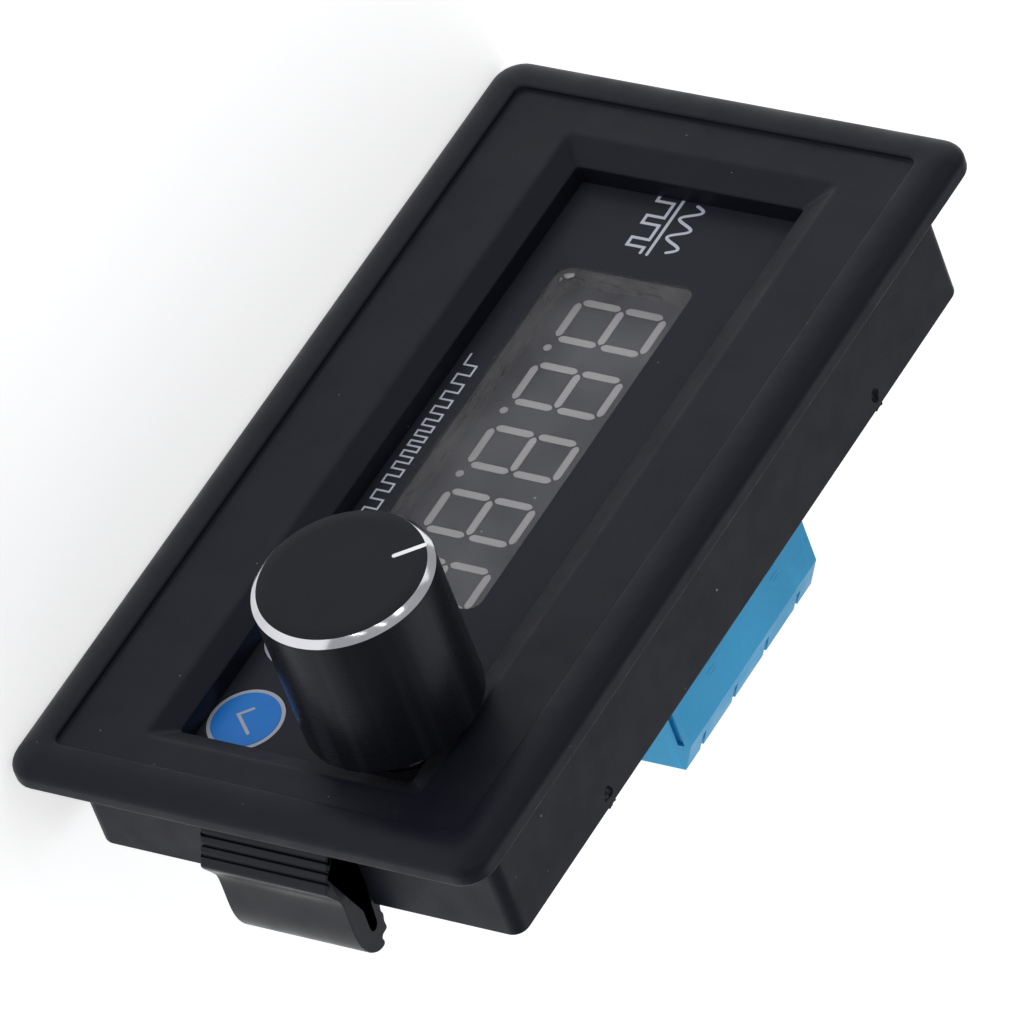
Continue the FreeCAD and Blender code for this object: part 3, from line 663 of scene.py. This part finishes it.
cuts = []
for s in (1, -1):
    a, b = sorted((s * (iw - 0.4), s * (BHW + 0.3)))
    cuts.append(cutter("cut_slot", *box_cut(a, b, FILM_Y + 0.05, BREAR + 1, -5.95, 5.95, 0.25)))
for bx in (-22.0, 20.8):
    for s in (1, -1):
        cuts.append(cutter("cut_dent", *blob(bx + 0.3, BREAR - 1.25, s * (BHH + 0.28), 0.62, 0.72, 0.55, int(bx * 3 + s * 7 + 90), 0.25)))
for c in cuts:
    m = house.modifiers.new("cut", "BOOLEAN")
    m.operation = "DIFFERENCE"
    m.solver = "EXACT"
    m.object = c
bake(house, 38.0)
for c in cuts:
    bpy.data.objects.remove(c)
weighted(house)
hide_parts("front_housing")

# heat-melted beads on the rear edges of the long walls
vs, fs = [], []
for bx in (-22.0, 20.8):
    for s in (1, -1):
        for dx, dy, dz, r in ((0.15, 0.10, -0.55, 0.48), (-0.22, 0.02, -0.35, 0.3), (0.45, -0.1, -0.2, 0.26)):
            a, b = blob(bx + dx, BREAR + dy, s * (BHH + dz), r, r * 0.85, r * 0.8, int(bx * 5 + s * 3 + dx * 10 + 200), 0.3)
            o = len(vs)
            vs += a
            fs += [tuple(o + i for i in g) for g in b]
beads = mk("melt_beads", vs, fs, "housing", m_house, 60.0)

# ------------------------------------------------------------ overlay print
INK_Y0, INK_Y1 = FILM_Y - 0.012, FILM_Y + 0.02
ink = []
W = 0.27
lx0, lx1 = -30.45, -24.35
lz = -0.55
ink.append(ribbon([(lx0, lz), (lx1, lz)], W))
# smooth wave above the line
pts = [(lx0 + 0.35 + (lx1 - lx0 - 0.9) * i / 60.0, lz + 1.45 + 0.78 * math.sin(2 * math.pi * 2.5 * i / 60.0)) for i in range(61)]
ink.append(ribbon(pts, W))
# square wave with unequal mark and space below it
pw = [(lx0 + 0.3, -2.1)]
for x, hgt in ((0.3, 1), (1.9, 0), (2.75, 1), (4.35, 0), (5.2, 1)):
    z_hi, z_lo = lz - 0.62, lz - 2.2
    cur = pw[-1][1]
    nz = z_hi if hgt else z_lo
    pw.append((lx0 + 0.25 + x, cur))
    pw.append((lx0 + 0.25 + x, nz))
pw[0] = (lx0 + 0.1, lz - 2.2)
pw[1] = (lx0 + 0.55, lz - 2.2)
pw.append((lx1 - 0.05, pw[-1][1]))
ink.append(ribbon(pw, W))
v, f = prism(ink, INK_Y0, INK_Y1)
mk("print_symbols", v, f, "housing", m_ink, 30.0)

# pulse train under the display
ink2 = []
z0 = -9.15
x = -11.2
p = [(x, z0)]
up = False
steps = [1.15, 1.05, 0.98, 0.92, 0.84, 0.8, 0.74, 0.7, 0.64, 0.6, 0.56, 0.54, 0.54, 0.56, 0.6, 0.64, 0.7, 0.74, 0.8, 0.84, 0.92, 0.98, 1.05]
for s in steps:
    x += s
    p.append((x, z0 + (1.15 if up else 0.0)))
    up = not up
    p.append((x, z0 + (1.15 if up else 0.0)))
x += 0.9
p.append((x, p[-1][1]))
ink2.append(ribbon(p, 0.17))
v, f = prism(ink2, INK_Y0, INK_Y1)
mk("print_pulses", v, f, "housing", m_ink, 30.0)

# ------------------------------------------------------------ keys
for nm, cx, cz, mat, slot in (("ok", OKX, OKZ, m_blue, "key_blue"), ("set", STX, STZ, m_blue, "key_red")):
    rI = 2.80
    prof = [(0.0, KEY_Y - 0.05), (1.4, KEY_Y - 0.048), (rI - 0.15, KEY_Y - 0.038), (rI - 0.03, KEY_Y - 0.03), (rI, KEY_Y - 0.015), (rI, KEY_Y + 0.03), (0.0, KEY_Y + 0.03)]
    v, f, t = lathe(prof, cx, cz, 96)
    d = mk(nm + "_key_disc", v, f, nm + "_button", mat, 40.0)
    if nm == "ok":
        st = [ribbon([(cx - 1.15, cz + 0.05), (cx - 0.30, cz - 0.85), (cx + 1.25, cz + 0.95)], 0.27)]
    else:
        st = [ribbon([(cx - 1.1, cz + k), (cx + 1.1, cz + k)], 0.24) for k in (0.7, 0.0, -0.7)]
        st += [disc(cx + o, cz + k, 0.33, 20) for o, k in ((-0.45, 0.7), (0.5, 0.0), (-0.15, -0.7))]
    v, f = prism(st, KEY_Y - 0.062, KEY_Y - 0.02)
    mk(nm + "_key_symbol", v, f, nm + "_button", m_keyring, 30.0)

# ------------------------------------------------------------ display module
v, f = loft([loop(LX - LW / 2 + e, LX + LW / 2 - e, LZ - LH / 2 + e, LZ + LH / 2 - e, 0.35, y) for e, y in
             ((0.30, LED_FACE + 0.004), (0.12, LED_FACE + 0.03), (0.03, LED_FACE + 0.11), (0.0, LED_FACE + 0.25), (0.0, LED_BACK - 0.1), (0.1, LED_BACK))],
            cap0=True, cap1=True)
ledb = mk("display_module", v, f, "housing", m_face, 38.0)
weighted(ledb)
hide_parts("led_display")
PITCH, DH, DW, SL, ST = 6.965, 8.5, 4.69, math.radians(0.9), 0.66
a_, h_, t_, g_ = DW / 2, DH / 2, ST / 2, 0.11
ta = math.tan(SL)


def hexa_h(zc):
    return [(-a_ + t_ + g_, zc), (-a_ + 2 * t_ + g_, zc + t_), (a_ - 2 * t_ - g_, zc + t_), (a_ - t_ - g_, zc),
            (a_ - 2 * t_ - g_, zc - t_), (-a_ + 2 * t_ + g_, zc - t_)]


def hexa_v(xc, z0_, z1_):
    return [(xc, z0_ + t_ * 0.2 + g_), (xc + t_, z0_ + 1.2 * t_ + g_), (xc + t_, z1_ - 1.2 * t_ - g_), (xc, z1_ - t_ * 0.2 - g_),
            (xc - t_, z1_ - 1.2 * t_ - g_), (xc - t_, z0_ + 1.2 * t_ + g_)]


segs = []
for i in range(5):
    cx = LX + (i - 2) * PITCH
    for pts in (hexa_h(h_ - t_), hexa_h(0.0), hexa_h(-h_ + t_), hexa_v(-a_ + t_, 0.0, h_ - t_), hexa_v(a_ - t_, 0.0, h_ - t_),
                hexa_v(-a_ + t_, -h_ + t_, 0.0), hexa_v(a_ - t_, -h_ + t_, 0.0)):
        q = [(cx + x + z * ta, LZ + z) for x, z in pts]
        segs.append(round_poly(q, 0.2, 3))
    segs.append(disc(cx + 3.09, LZ - 4.06, 0.34, 24))
v, f = prism(segs, LED_FACE - 0.035, LED_FACE + 0.05)
sg = mk("segment_faces", v, f, "housing", m_seg, 30.0)
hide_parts("segment_diffusers")

# pale beads at the corner of the spacer, shaped as squeezed-out glue; their light colour is a painted glint
vs, fs = [], []
for cx, cy, cz, ax, ay, az, sd in ((DX0 + 0.36, 1.75, DZ0 + 0.62, 0.30, 0.10, 0.46, 11), (DX0 + 0.62, 1.9, DZ0 + 0.10, 0.34, 0.14, 0.06, 14)):
    a, b = blob(cx, cy, cz, ax, ay, az, sd, 0.35)
    o = len(vs)
    vs += a
    fs += [tuple(o + i for i in g) for g in b]
mk("spacer_glue_glint", vs, fs, "housing", m_glue_glint, 60.0)

# ------------------------------------------------------------ knob
c = 0.52
prof = [(0.0, KNOB_FRONT + 0.012), (1.5, KNOB_FRONT + 0.012), (3.5, KNOB_FRONT + 0.012), (5.5, KNOB_FRONT + 0.012), (KNOB_R - c - 0.03, KNOB_FRONT + 0.012), (KNOB_R - c, KNOB_FRONT + 0.022),
        (KNOB_R - 0.02, KNOB_FRONT + c - 0.02), (KNOB_R, KNOB_FRONT + c + 0.02), (KNOB_R, KNOB_FRONT + c + 0.10), (KNOB_R, -12.0), (KNOB_R, -8.0), (KNOB_R, -4.0),
        (KNOB_R, KNOB_BACK - 0.10), (KNOB_R - 0.03, KNOB_BACK - 0.04), (KNOB_R - 0.10, KNOB_BACK), (5.4, KNOB_BACK),
        (5.3, KNOB_BACK - 0.1), (5.1, KNOB_BACK - 0.5), (5.1, -15.2), (0.0, -15.2)]
v, f, t = lathe(prof, EX, EZ, 200)
fm = [1 if k in (5, 6) else 0 for k in t]
knob = mk("knob_body", v, f, "knob", [m_knob, m_bright], 25.0, face_mat=fm)
weighted(knob)
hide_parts("knob_shell")
PA = math.radians(132.0)
p0 = (EX + 4.15 * math.cos(PA), EZ + 4.15 * math.sin(PA))
p1 = (EX + (KNOB_R - c - 0.12) * math.cos(PA), EZ + (KNOB_R - c - 0.12) * math.sin(PA))
v, f = prism([ribbon([p0, p1], 0.40, 8)], KNOB_FRONT, KNOB_FRONT + 0.1)
ptr = mk("pointer_line", v, f, "knob", m_ptr, 30.0)
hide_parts("knob_pointer")

# ------------------------------------------------------------ side clips
HZ = 5.75


def smooth_closed(pts, times=2):
    for _ in range(times):
        out = []
        n = len(pts)
        for i in range(n):
            a, b = pts[i], pts[(i + 1) % n]
            out.append((0.75 * a[0] + 0.25 * b[0], 0.75 * a[1] + 0.25 * b[1]))
            out.append((0.25 * a[0] + 0.75 * b[0], 0.25 * a[1] + 0.75 * b[1]))
        pts = out
    return pts


UX, UY, NX_, NY_ = 0.509, 0.861, 0.861, -0.509
outline = [(36.42, 1.28), (36.60, 1.20), (36.85, 1.22), (37.04, 1.42), (37.16, 1.90), (37.50, 2.50)]
for gx, gy in ((37.77, 2.95), (38.19, 3.66), (38.61, 4.37)):
    for along, depth in ((-0.19, 0.0), (-0.13, 0.03), (-0.10, 0.22), (-0.04, 0.27), (0.04, 0.27), (0.10, 0.22), (0.13, 0.03), (0.19, 0.0)):
        outline.append((gx + along * UX - depth * NX_, gy + along * UY - depth * NY_))
outline += [(38.88, 4.84), (39.00, 5.04), (39.05, 5.2), (39.02, 5.38), (38.9, 5.62), (38.62, 6.08), (38.25, 6.7), (38.02, 7.15), (37.91, 7.6), (37.88, 8.1),
            (37.9, 9.2), (37.94, 10.2), (37.94, 11.0), (37.88, 11.7), (37.74, 12.4), (37.5, 13.0), (37.15, 13.58), (36.7, 14.05), (36.25, 14.33), (35.85, 14.44),
            (35.55, 14.46), (35.38, 14.38), (35.28, 14.22), (35.30, 14.0), (35.36, 13.85), (35.32, 13.68), (35.15, 13.56), (34.9, 13.55), (34.66, 13.53), (34.52, 13.42),
            (34.48, 13.2), (34.52, 12.95), (34.50, 12.6), (34.36, 12.3), (34.34, 12.0), (34.46, 11.7), (34.40, 11.4), (34.28, 11.1), (34.18, 10.7), (34.15, 10.2), (34.15, 8.0), (34.15, 4.0),
            (34.1, 3.6), (34.0, 3.42), (33.6, 3.4), (33.42, 3.3), (33.38, 3.1), (33.38, 1.2), (33.46, 1.0), (33.7, 0.94), (34.4, 0.93), (34.75, 0.95), (34.87, 1.1), (34.90, 3.0), (34.94, 6.6), (35.08, 8.2),
            (35.30, 9.9), (35.40, 11.2), (35.46, 11.8), (35.56, 12.1), (35.74, 12.24), (35.94, 12.20), (36.07, 12.02), (36.12, 11.7), (36.08, 10.4), (36.01, 8.2), (35.98, 6.6), (36.10, 4.0), (36.26, 2.6)]


def clip(side):
    pts = smooth_closed(outline, 1)
    n = len(pts)
    verts, rings = [], []
    for z, e in ((-HZ, 0.16), (-HZ + 0.05, 0.05), (-HZ + 0.16, 0.0), (0.0, 0.0), (HZ - 0.16, 0.0), (HZ - 0.05, 0.05), (HZ, 0.16)):
        # inset the outline by e towards its inside
        row = []
        for i in range(n):
            a, b, c_ = Vector(pts[i - 1]), Vector(pts[i]), Vector(pts[(i + 1) % n])
            d = (c_ - a).normalized()
            nrm = Vector((-d.y, d.x))
            q = b + nrm * e * INWARD
            row.append(len(verts))
            verts.append((q.x * side, q.y, z))
        rings.append(row)
    faces = []
    for i in range(len(rings) - 1):
        for j in range(n):
            j2 = (j + 1) % n
            faces.append((rings[i][j], rings[i][j2], rings[i + 1][j2], rings[i + 1][j]))
    faces.append(tuple(rings[0]))
    faces.append(tuple(reversed(rings[-1])))
    return verts, faces


area2 = sum(outline[i - 1][0] * outline[i][1] - outline[i][0] * outline[i - 1][1] for i in range(len(outline)))
INWARD = 1.0 if area2 > 0 else -1.0
for side, tag in ((1, "right"), (-1, "left")):
    v, f = clip(side)
    ob = mk("hairpin_clip_" + tag, v, f, "housing", m_clip, 32.0, ride=False)
    m = ob.modifiers.new("tri", "TRIANGULATE")
    m.quad_method = "BEAUTY"
    m.min_vertices = 5
    bake(ob, 32.0)
    weighted(ob)
    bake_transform(ob)
    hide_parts("clip_anchor_" + tag, "clip_leaf_" + tag)

# ------------------------------------------------------------ terminals
for nm in ("terminal_block_left", "terminal_block_right"):
    soften(N[nm], 0.13, 3, 30.0)
for k in range(1, 5):
    soften(N["terminal_screw_%d" % k], 0.06, 2, 35.0)
    soften(N["wire_clamp_%d" % k], 0.10, 2, 35.0)
tl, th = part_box("terminal_block_left")
poles = [-3.45 + (k - 1.5) * 5.08 for k in range(4)]
# small raised mould marks on the upper faces (plain ring and bar)
vs, fs = [], []
for cx in (-3.45 - 5.08, -3.45 + 5.08):
    for poly in (ribbon([(cx + 0.55 * math.cos(a * math.pi / 12), 15.4 + 0.55 * math.sin(a * math.pi / 12)) for a in range(0, 24)], 0.14),
                 ribbon([(cx - 0.5, 16.6), (cx + 0.5, 16.6)], 0.14), ribbon([(cx - 0.5, 17.0), (cx + 0.2, 17.0)], 0.14)):
        b = len(vs)
        n = len(poly)
        vs += [(x, y, 15.018) for x, y in poly] + [(x, y, 14.95) for x, y in poly]
        fs.append(tuple(b + i for i in range(n)))
        fs.append(tuple(b + n + i for i in reversed(range(n))))
        fs += [(b + i, b + n + i, b + n + (i + 1) % n, b + (i + 1) % n) for i in range(n)]
mk("terminal_marks", vs, fs, "housing", m_term, 30.0)

# ------------------------------------------------------------ rear of the board
for nm in ("microcontroller", "display_driver", "voltage_regulator", "protection_diode"):
    soften(N[nm], 0.05, 2, 35.0)
for nm in ("crystal", "smoothing_capacitor", "chip_resistors", "chip_capacitors"):
    soften(N[nm], 0.09, 3, 40.0)
soften(N["main_board"], 0.05, 1, 60.0)


def fillets(pts, r0, r1, h, n=20, top=None):
    """Solder fillets: concave cones round pins on the board's rear face."""
    vs, fs = [], []
    for x, z in pts:
        prof = [(r0, PCB_Y1 - 0.01), (r0 * 0.82, PCB_Y1 + h * 0.10), (r0 * 0.62, PCB_Y1 + h * 0.28), (r1 * 1.25, PCB_Y1 + h * 0.6),
                (r1, PCB_Y1 + h * 0.92), (r1 * 0.6, PCB_Y1 + h), (0.0, PCB_Y1 + h * 1.02)]
        q = [(r, y) for r, y in prof]
        v_, f_, t_2 = lathe(q, x, z, n)
        o = len(vs)
        v_.append((x, PCB_Y1 - 0.01, z))
        vs += v_
        fs += [tuple(o + i for i in g) for g in f_]
        fs += [(o + len(v_) - 1, o + j, o + (j + 1) % n) for j in range(n)]
    return vs, fs


led_p = [(LX + (k - 3) * 2.54, z) for z in (LZ + 3.81, LZ - 3.81) for k in range(7)]
enc_p = [(EX + d, EZ - 5.3) for d in (-2.5, 0, 2.5)] + [(EX + d, EZ + 5.3) for d in (-2.5, 2.5)]
sw_p = [(kx + sx * 2.6, kz + sz * 2.25) for kx, kz in ((OKX, OKZ), (STX, STZ)) for sx in (-1, 1) for sz in (-1, 1)]
v, f = fillets(led_p, 0.72, 0.33, 1.05)
mk("solder_display", v, f, "housing", m_solder, 50.0)
v, f = fillets(enc_p, 0.95, 0.5, 0.95)
mk("solder_encoder", v, f, "housing", m_solder, 50.0)
v, f = fillets(sw_p, 0.85, 0.42, 0.85)
mk("solder_switches", v, f, "housing", m_solder, 50.0)

# copper traces under the mask, as low ridges
tr = []
mcu = [(10.2 + s * 4.2, -3.0 + (k - 3.5) * 0.8) for s in (-1, 1) for k in range(8)]
for k in range(7):
    x0_, z0_ = led_p[7 + k]
    x1_ = -5.0 + (k - 3.0) * 1.27
    tr.append(ribbon([(x0_, z0_ - 0.7), (x0_, z0_ - 1.6 - 0.22 * k), (x1_, -7.2 + 0.16 * k), (x1_, -7.6)], 0.26))
for k in range(7):
    x0_, z0_ = led_p[k]
    tr.append(ribbon([(x0_, z0_ - 0.7), (x0_, z0_ - 1.5 - 0.34 * k), (4.2, 1.2 - 0.62 * k), (5.4, -0.2 - 0.8 * k)], 0.22))
for k in range(8):
    z_ = -3.0 + (k - 3.5) * 0.8
    tr.append(ribbon([(15.0, z_), (15.6 + 0.3 * (7 - k), z_), (17.0 + 0.3 * (7 - k), z_ + (1.2 if k > 3 else -1.2)), (17.2 + 0.5 * (7 - k), z_ + (4.0 if k > 3 else -2.2))], 0.2))
for k, (x_, z_) in enumerate(enc_p[:3]):
    tr.append(ribbon([(x_, z_ - 0.9), (x_, z_ - 1.6 - 0.4 * k), (19.5 + 0.4 * k, -1.2 - 0.4 * k)], 0.24))
tr.append(ribbon([(-24.2, 13.5), (-24.2, 14.2), (-14.0, 14.2), (-12.2, 15.6)], 0.9))
tr.append(ribbon([(-22.0, 4.9), (-20.0, 3.2), (-20.0, -5.0), (-21.0, -6.4)], 0.9))
tr.append(ribbon([(-24.6, -0.6), (-24.6, -3.8)], 0.9))
tr.append(ribbon([(-27.9, -7.4), (-30.4, -7.4), (-30.4, 12.6), (-27.4, 15.6), (-15.0, 15.9)], 0.8))
tr.append(ribbon([(14.3, -10.6), (14.3, -8.6), (12.6, -7.8)], 0.3))
tr.append(ribbon([(30.9, -4.4), (31.4, -2.0), (31.4, 14.0), (29.4, 15.8), (7.0, 15.9)], 0.7))
v, f = prism(tr, PCB_Y1 + 0.025, PCB_Y1 - 0.02)
mk("board_traces", v, f, "housing", m_trace, 30.0)

# pads and outlines
pads, silk = [], []
for (x_, z_) in mcu:
    pads.append([(x_ - 0.55, z_ - 0.19), (x_ + 0.55, z_ - 0.19), (x_ + 0.55, z_ + 0.19), (x_ - 0.55, z_ + 0.19)])
for s in (-1, 1):
    for k in range(8):
        x_, z_ = 10.2 + (k - 3.5) * 0.8, -3.0 + s * 4.2
        pads.append([(x_ - 0.19, z_ - 0.55), (x_ + 0.19, z_ - 0.55), (x_ + 0.19, z_ + 0.55), (x_ - 0.19, z_ + 0.55)])
        x_, z_ = -5.0 + (k - 3.5) * 1.27, -10.4 + s * 2.6
        pads.append([(x_ - 0.3, z_ - 0.6), (x_ + 0.3, z_ - 0.6), (x_ + 0.3, z_ + 0.6), (x_ - 0.3, z_ + 0.6)])
res_xz = ((-17.0, 9.8), (-17.0, 12.2), (9.6, 9.4), (9.6, 12.0), (11.8, 3.6), (15.0, 4.2), (5.0, -13.6), (5.0, -11.2), (-15.6, -13.0), (-15.6, -10.6))
cap_xz = ((-19.4, 4.6), (22.6, -10.6), (22.6, -13.4), (17.4, 1.0), (3.8, -8.6), (-18.2, -2.0), (12.8, 9.0))
for x_, z_ in res_xz:
    for s in (-1, 1):
        pads.append([(x_ + s * 0.9 - 0.42, z_ - 0.48), (x_ + s * 0.9 + 0.42, z_ - 0.48), (x_ + s * 0.9 + 0.42, z_ + 0.48), (x_ + s * 0.9 - 0.42, z_ + 0.48)])
    silk.append(ribbon([(x_ - 1.6, z_ + 0.75), (x_ + 1.6, z_ + 0.75)], 0.12))
    silk.append(ribbon([(x_ - 1.6, z_ - 0.75), (x_ + 1.6, z_ - 0.75)], 0.12))
for x_, z_ in cap_xz:
    for s in (-1, 1):
        pads.append([(x_ - 0.6, z_ + s * 0.85 - 0.42), (x_ + 0.6, z_ + s * 0.85 - 0.42), (x_ + 0.6, z_ + s * 0.85 + 0.42), (x_ - 0.6, z_ + s * 0.85 + 0.42)])
    silk.append(ribbon([(x_ - 0.85, z_ - 1.5), (x_ - 0.85, z_ + 1.5)], 0.12))
    silk.append(ribbon([(x_ + 0.85, z_ - 1.5), (x_ + 0.85, z_ + 1.5)], 0.12))
v, f = prism(pads, PCB_Y1 + 0.04, PCB_Y1 - 0.02)
mk("board_pads", v, f, "housing", m_solder, 30.0)


def frame_strokes(x0, x1, z0_, z1_, w=0.14):
    return [ribbon([(x0, z0_), (x1, z0_)], w), ribbon([(x1, z0_), (x1, z1_)], w), ribbon([(x1, z1_), (x0, z1_)], w), ribbon([(x0, z1_), (x0, z0_)], w)]


silk += frame_strokes(8.3, 20.3, -16.4, -11.0)
silk += frame_strokes(-28.0, -20.8, -11.0, -3.8)
silk += frame_strokes(4.7, 15.7, -8.4, 2.4)
silk += frame_strokes(-28.0, -20.4, 5.4, 14.2)
for kx, kz in ((OKX, OKZ), (STX, STZ)):
    silk += frame_strokes(kx - 3.2, kx + 3.2, kz - 3.2, kz + 3.2)
silk.append(ribbon([(EX + 5.9 * math.cos(a * math.pi / 24), EZ + 4.2 * math.sin(a * math.pi / 24)) for a in range(0, 48)], 0.14))
silk.append(disc(4.3, 3.0, 0.28, 16))
silk.append(disc(-10.9, -13.2, 0.28, 16))
v, f = prism(silk, PCB_Y1 + 0.02, PCB_Y1 - 0.02)
mk("board_print", v, f, "housing", m_silk, 30.0)

# tinned ends of the chip parts
ends = []
vs, fs = [], []


def add_box(x0, x1, y0, y1, z0_, z1_):
    b = len(vs)
    vs.extend([(x0, y0, z0_), (x1, y0, z0_), (x1, y1, z0_), (x0, y1, z0_), (x0, y0, z1_), (x1, y0, z1_), (x1, y1, z1_), (x0, y1, z1_)])
    for q in ((0, 1, 2, 3), (4, 7, 6, 5), (0, 4, 5, 1), (1, 5, 6, 2), (2, 6, 7, 3), (3, 7, 4, 0)):
        fs.append(tuple(b + i for i in q))


for x_, z_ in res_xz:
    for s in (-1, 1):
        a, b = sorted((x_ + s * 0.83, x_ + s * 0.55))
        add_box(a, b, PCB_Y1 + 0.03, PCB_Y1 + 0.52, z_ - 0.42, z_ + 0.42)
for x_, z_ in cap_xz:
    for s in (-1, 1):
        a, b = sorted((z_ + s * 0.83, z_ + s * 0.55))
        add_box(x_ - 0.52, x_ + 0.52, PCB_Y1 + 0.03, PCB_Y1 + 0.82, a, b)
e = mk("chip_ends", vs, fs, "housing", m_tin, 30.0)
b = e.modifiers.new("edge", "BEVEL")
b.width, b.segments, b.harden_normals = 0.05 * MM, 2, True
weighted(e)

# ------------------------------------------------------------ floor, light, camera
fm_ = bpy.data.materials.new("floor_paper")
fm_.use_nodes = True
nt = fm_.node_tree
pb = nt.nodes["Principled BSDF"]
pb.inputs["Roughness"].default_value = 0.9
pb.inputs["Specular IOR Level"].default_value = 0.1
nz = nt.nodes.new("ShaderNodeTexNoise")
nz.inputs["Scale"].default_value = 3.0
mr = nt.nodes.new("ShaderNodeMix")
mr.data_type = "RGBA"
mr.inputs[6].default_value = (0.80, 0.80, 0.80, 1)
mr.inputs[7].default_value = (0.84, 0.84, 0.84, 1)
nt.links.new(nz.outputs["Fac"], mr.inputs[0])
nt.links.new(mr.outputs[2], pb.inputs["Base Color"])
pb.inputs["Emission Color"].default_value = (1.0, 1.0, 1.0, 1)
pb.inputs["Emission Strength"].default_value = 0.61
FZ = -HH * MM - 0.0002
me = bpy.data.meshes.new("floor")
S = 2.5
me.from_pydata([(-S, -S, FZ), (S, -S, FZ), (S, S, FZ), (-S, S, FZ)], [], [(0, 1, 2, 3)])
me.materials.append(fm_)
floor = bpy.data.objects.new("floor", me)
bpy.context.scene.collection.objects.link(floor)

w = bpy.data.worlds.new("studio")
bpy.context.scene.world = w
w.use_nodes = True
bg = w.node_tree.nodes["Background"]
bg.inputs[0].default_value = (0.96, 0.97, 1.0, 1)
bg.inputs[1].default_value = 0.45


def area(name, pos, size, radiance, color=(1, 1, 1), target=(0, 0, 0), size_y=None):
    l = bpy.data.lights.new(name, "AREA")
    l.shape = "RECTANGLE"
    l.size = size
    l.size_y = size_y or size
    l.energy = radiance * math.pi * l.size * l.size_y
    l.color = color
    o = bpy.data.objects.new(name, l)
    o.location = pos
    d = Vector(target) - Vector(pos)
    o.rotation_euler = d.to_track_quat("-Z", "Y").to_euler()
    bpy.context.scene.collection.objects.link(o)
    return o


area("key_left", (-0.85, -0.65, 0.45), 0.60, 0.62)
area("top_soft", (-0.35, 0.55, 0.95), 0.9, 0.95)
area("fill_right", (0.9, 0.25, 0.35), 0.5, 0.12)
area("front_low", (0.25, -1.0, 0.10), 0.30, 0.45, size_y=0.9)
area("strip_a", (-0.055, -0.61, 0.66), 0.13, 3.0, size_y=0.16)
area("strip_b", (0.262, -0.665, 0.548), 0.022, 5.0, size_y=0.30)
area("strip_c", (0.506, -0.670, 0.323), 0.022, 5.0, size_y=0.30)

cam = bpy.data.cameras.new("camera")
co = bpy.data.objects.new("camera", cam)
R0 = Vector((-0.48145722, 0.27491429, 0.8322386))
R1 = Vector((0.69691306, 0.6959039, 0.17329153))
R2 = Vector((-0.53151777, 0.6634304, -0.52663931))
mat = Matrix.Identity(4)
for i in range(3):
    mat[i][0], mat[i][1], mat[i][2] = R0[i], -R1[i], -R2[i]
mat[0][3], mat[1][3], mat[2][3] = 0.486018, -0.601733, 0.481305
co.matrix_world = mat
cam.sensor_width = 36.0
cam.lens = 422.38
cam.clip_start = 0.05
cam.clip_end = 50.0
bpy.context.scene.collection.objects.link(co)
bpy.context.scene.camera = co
bpy.context.scene.view_settings.view_transform = "Standard"
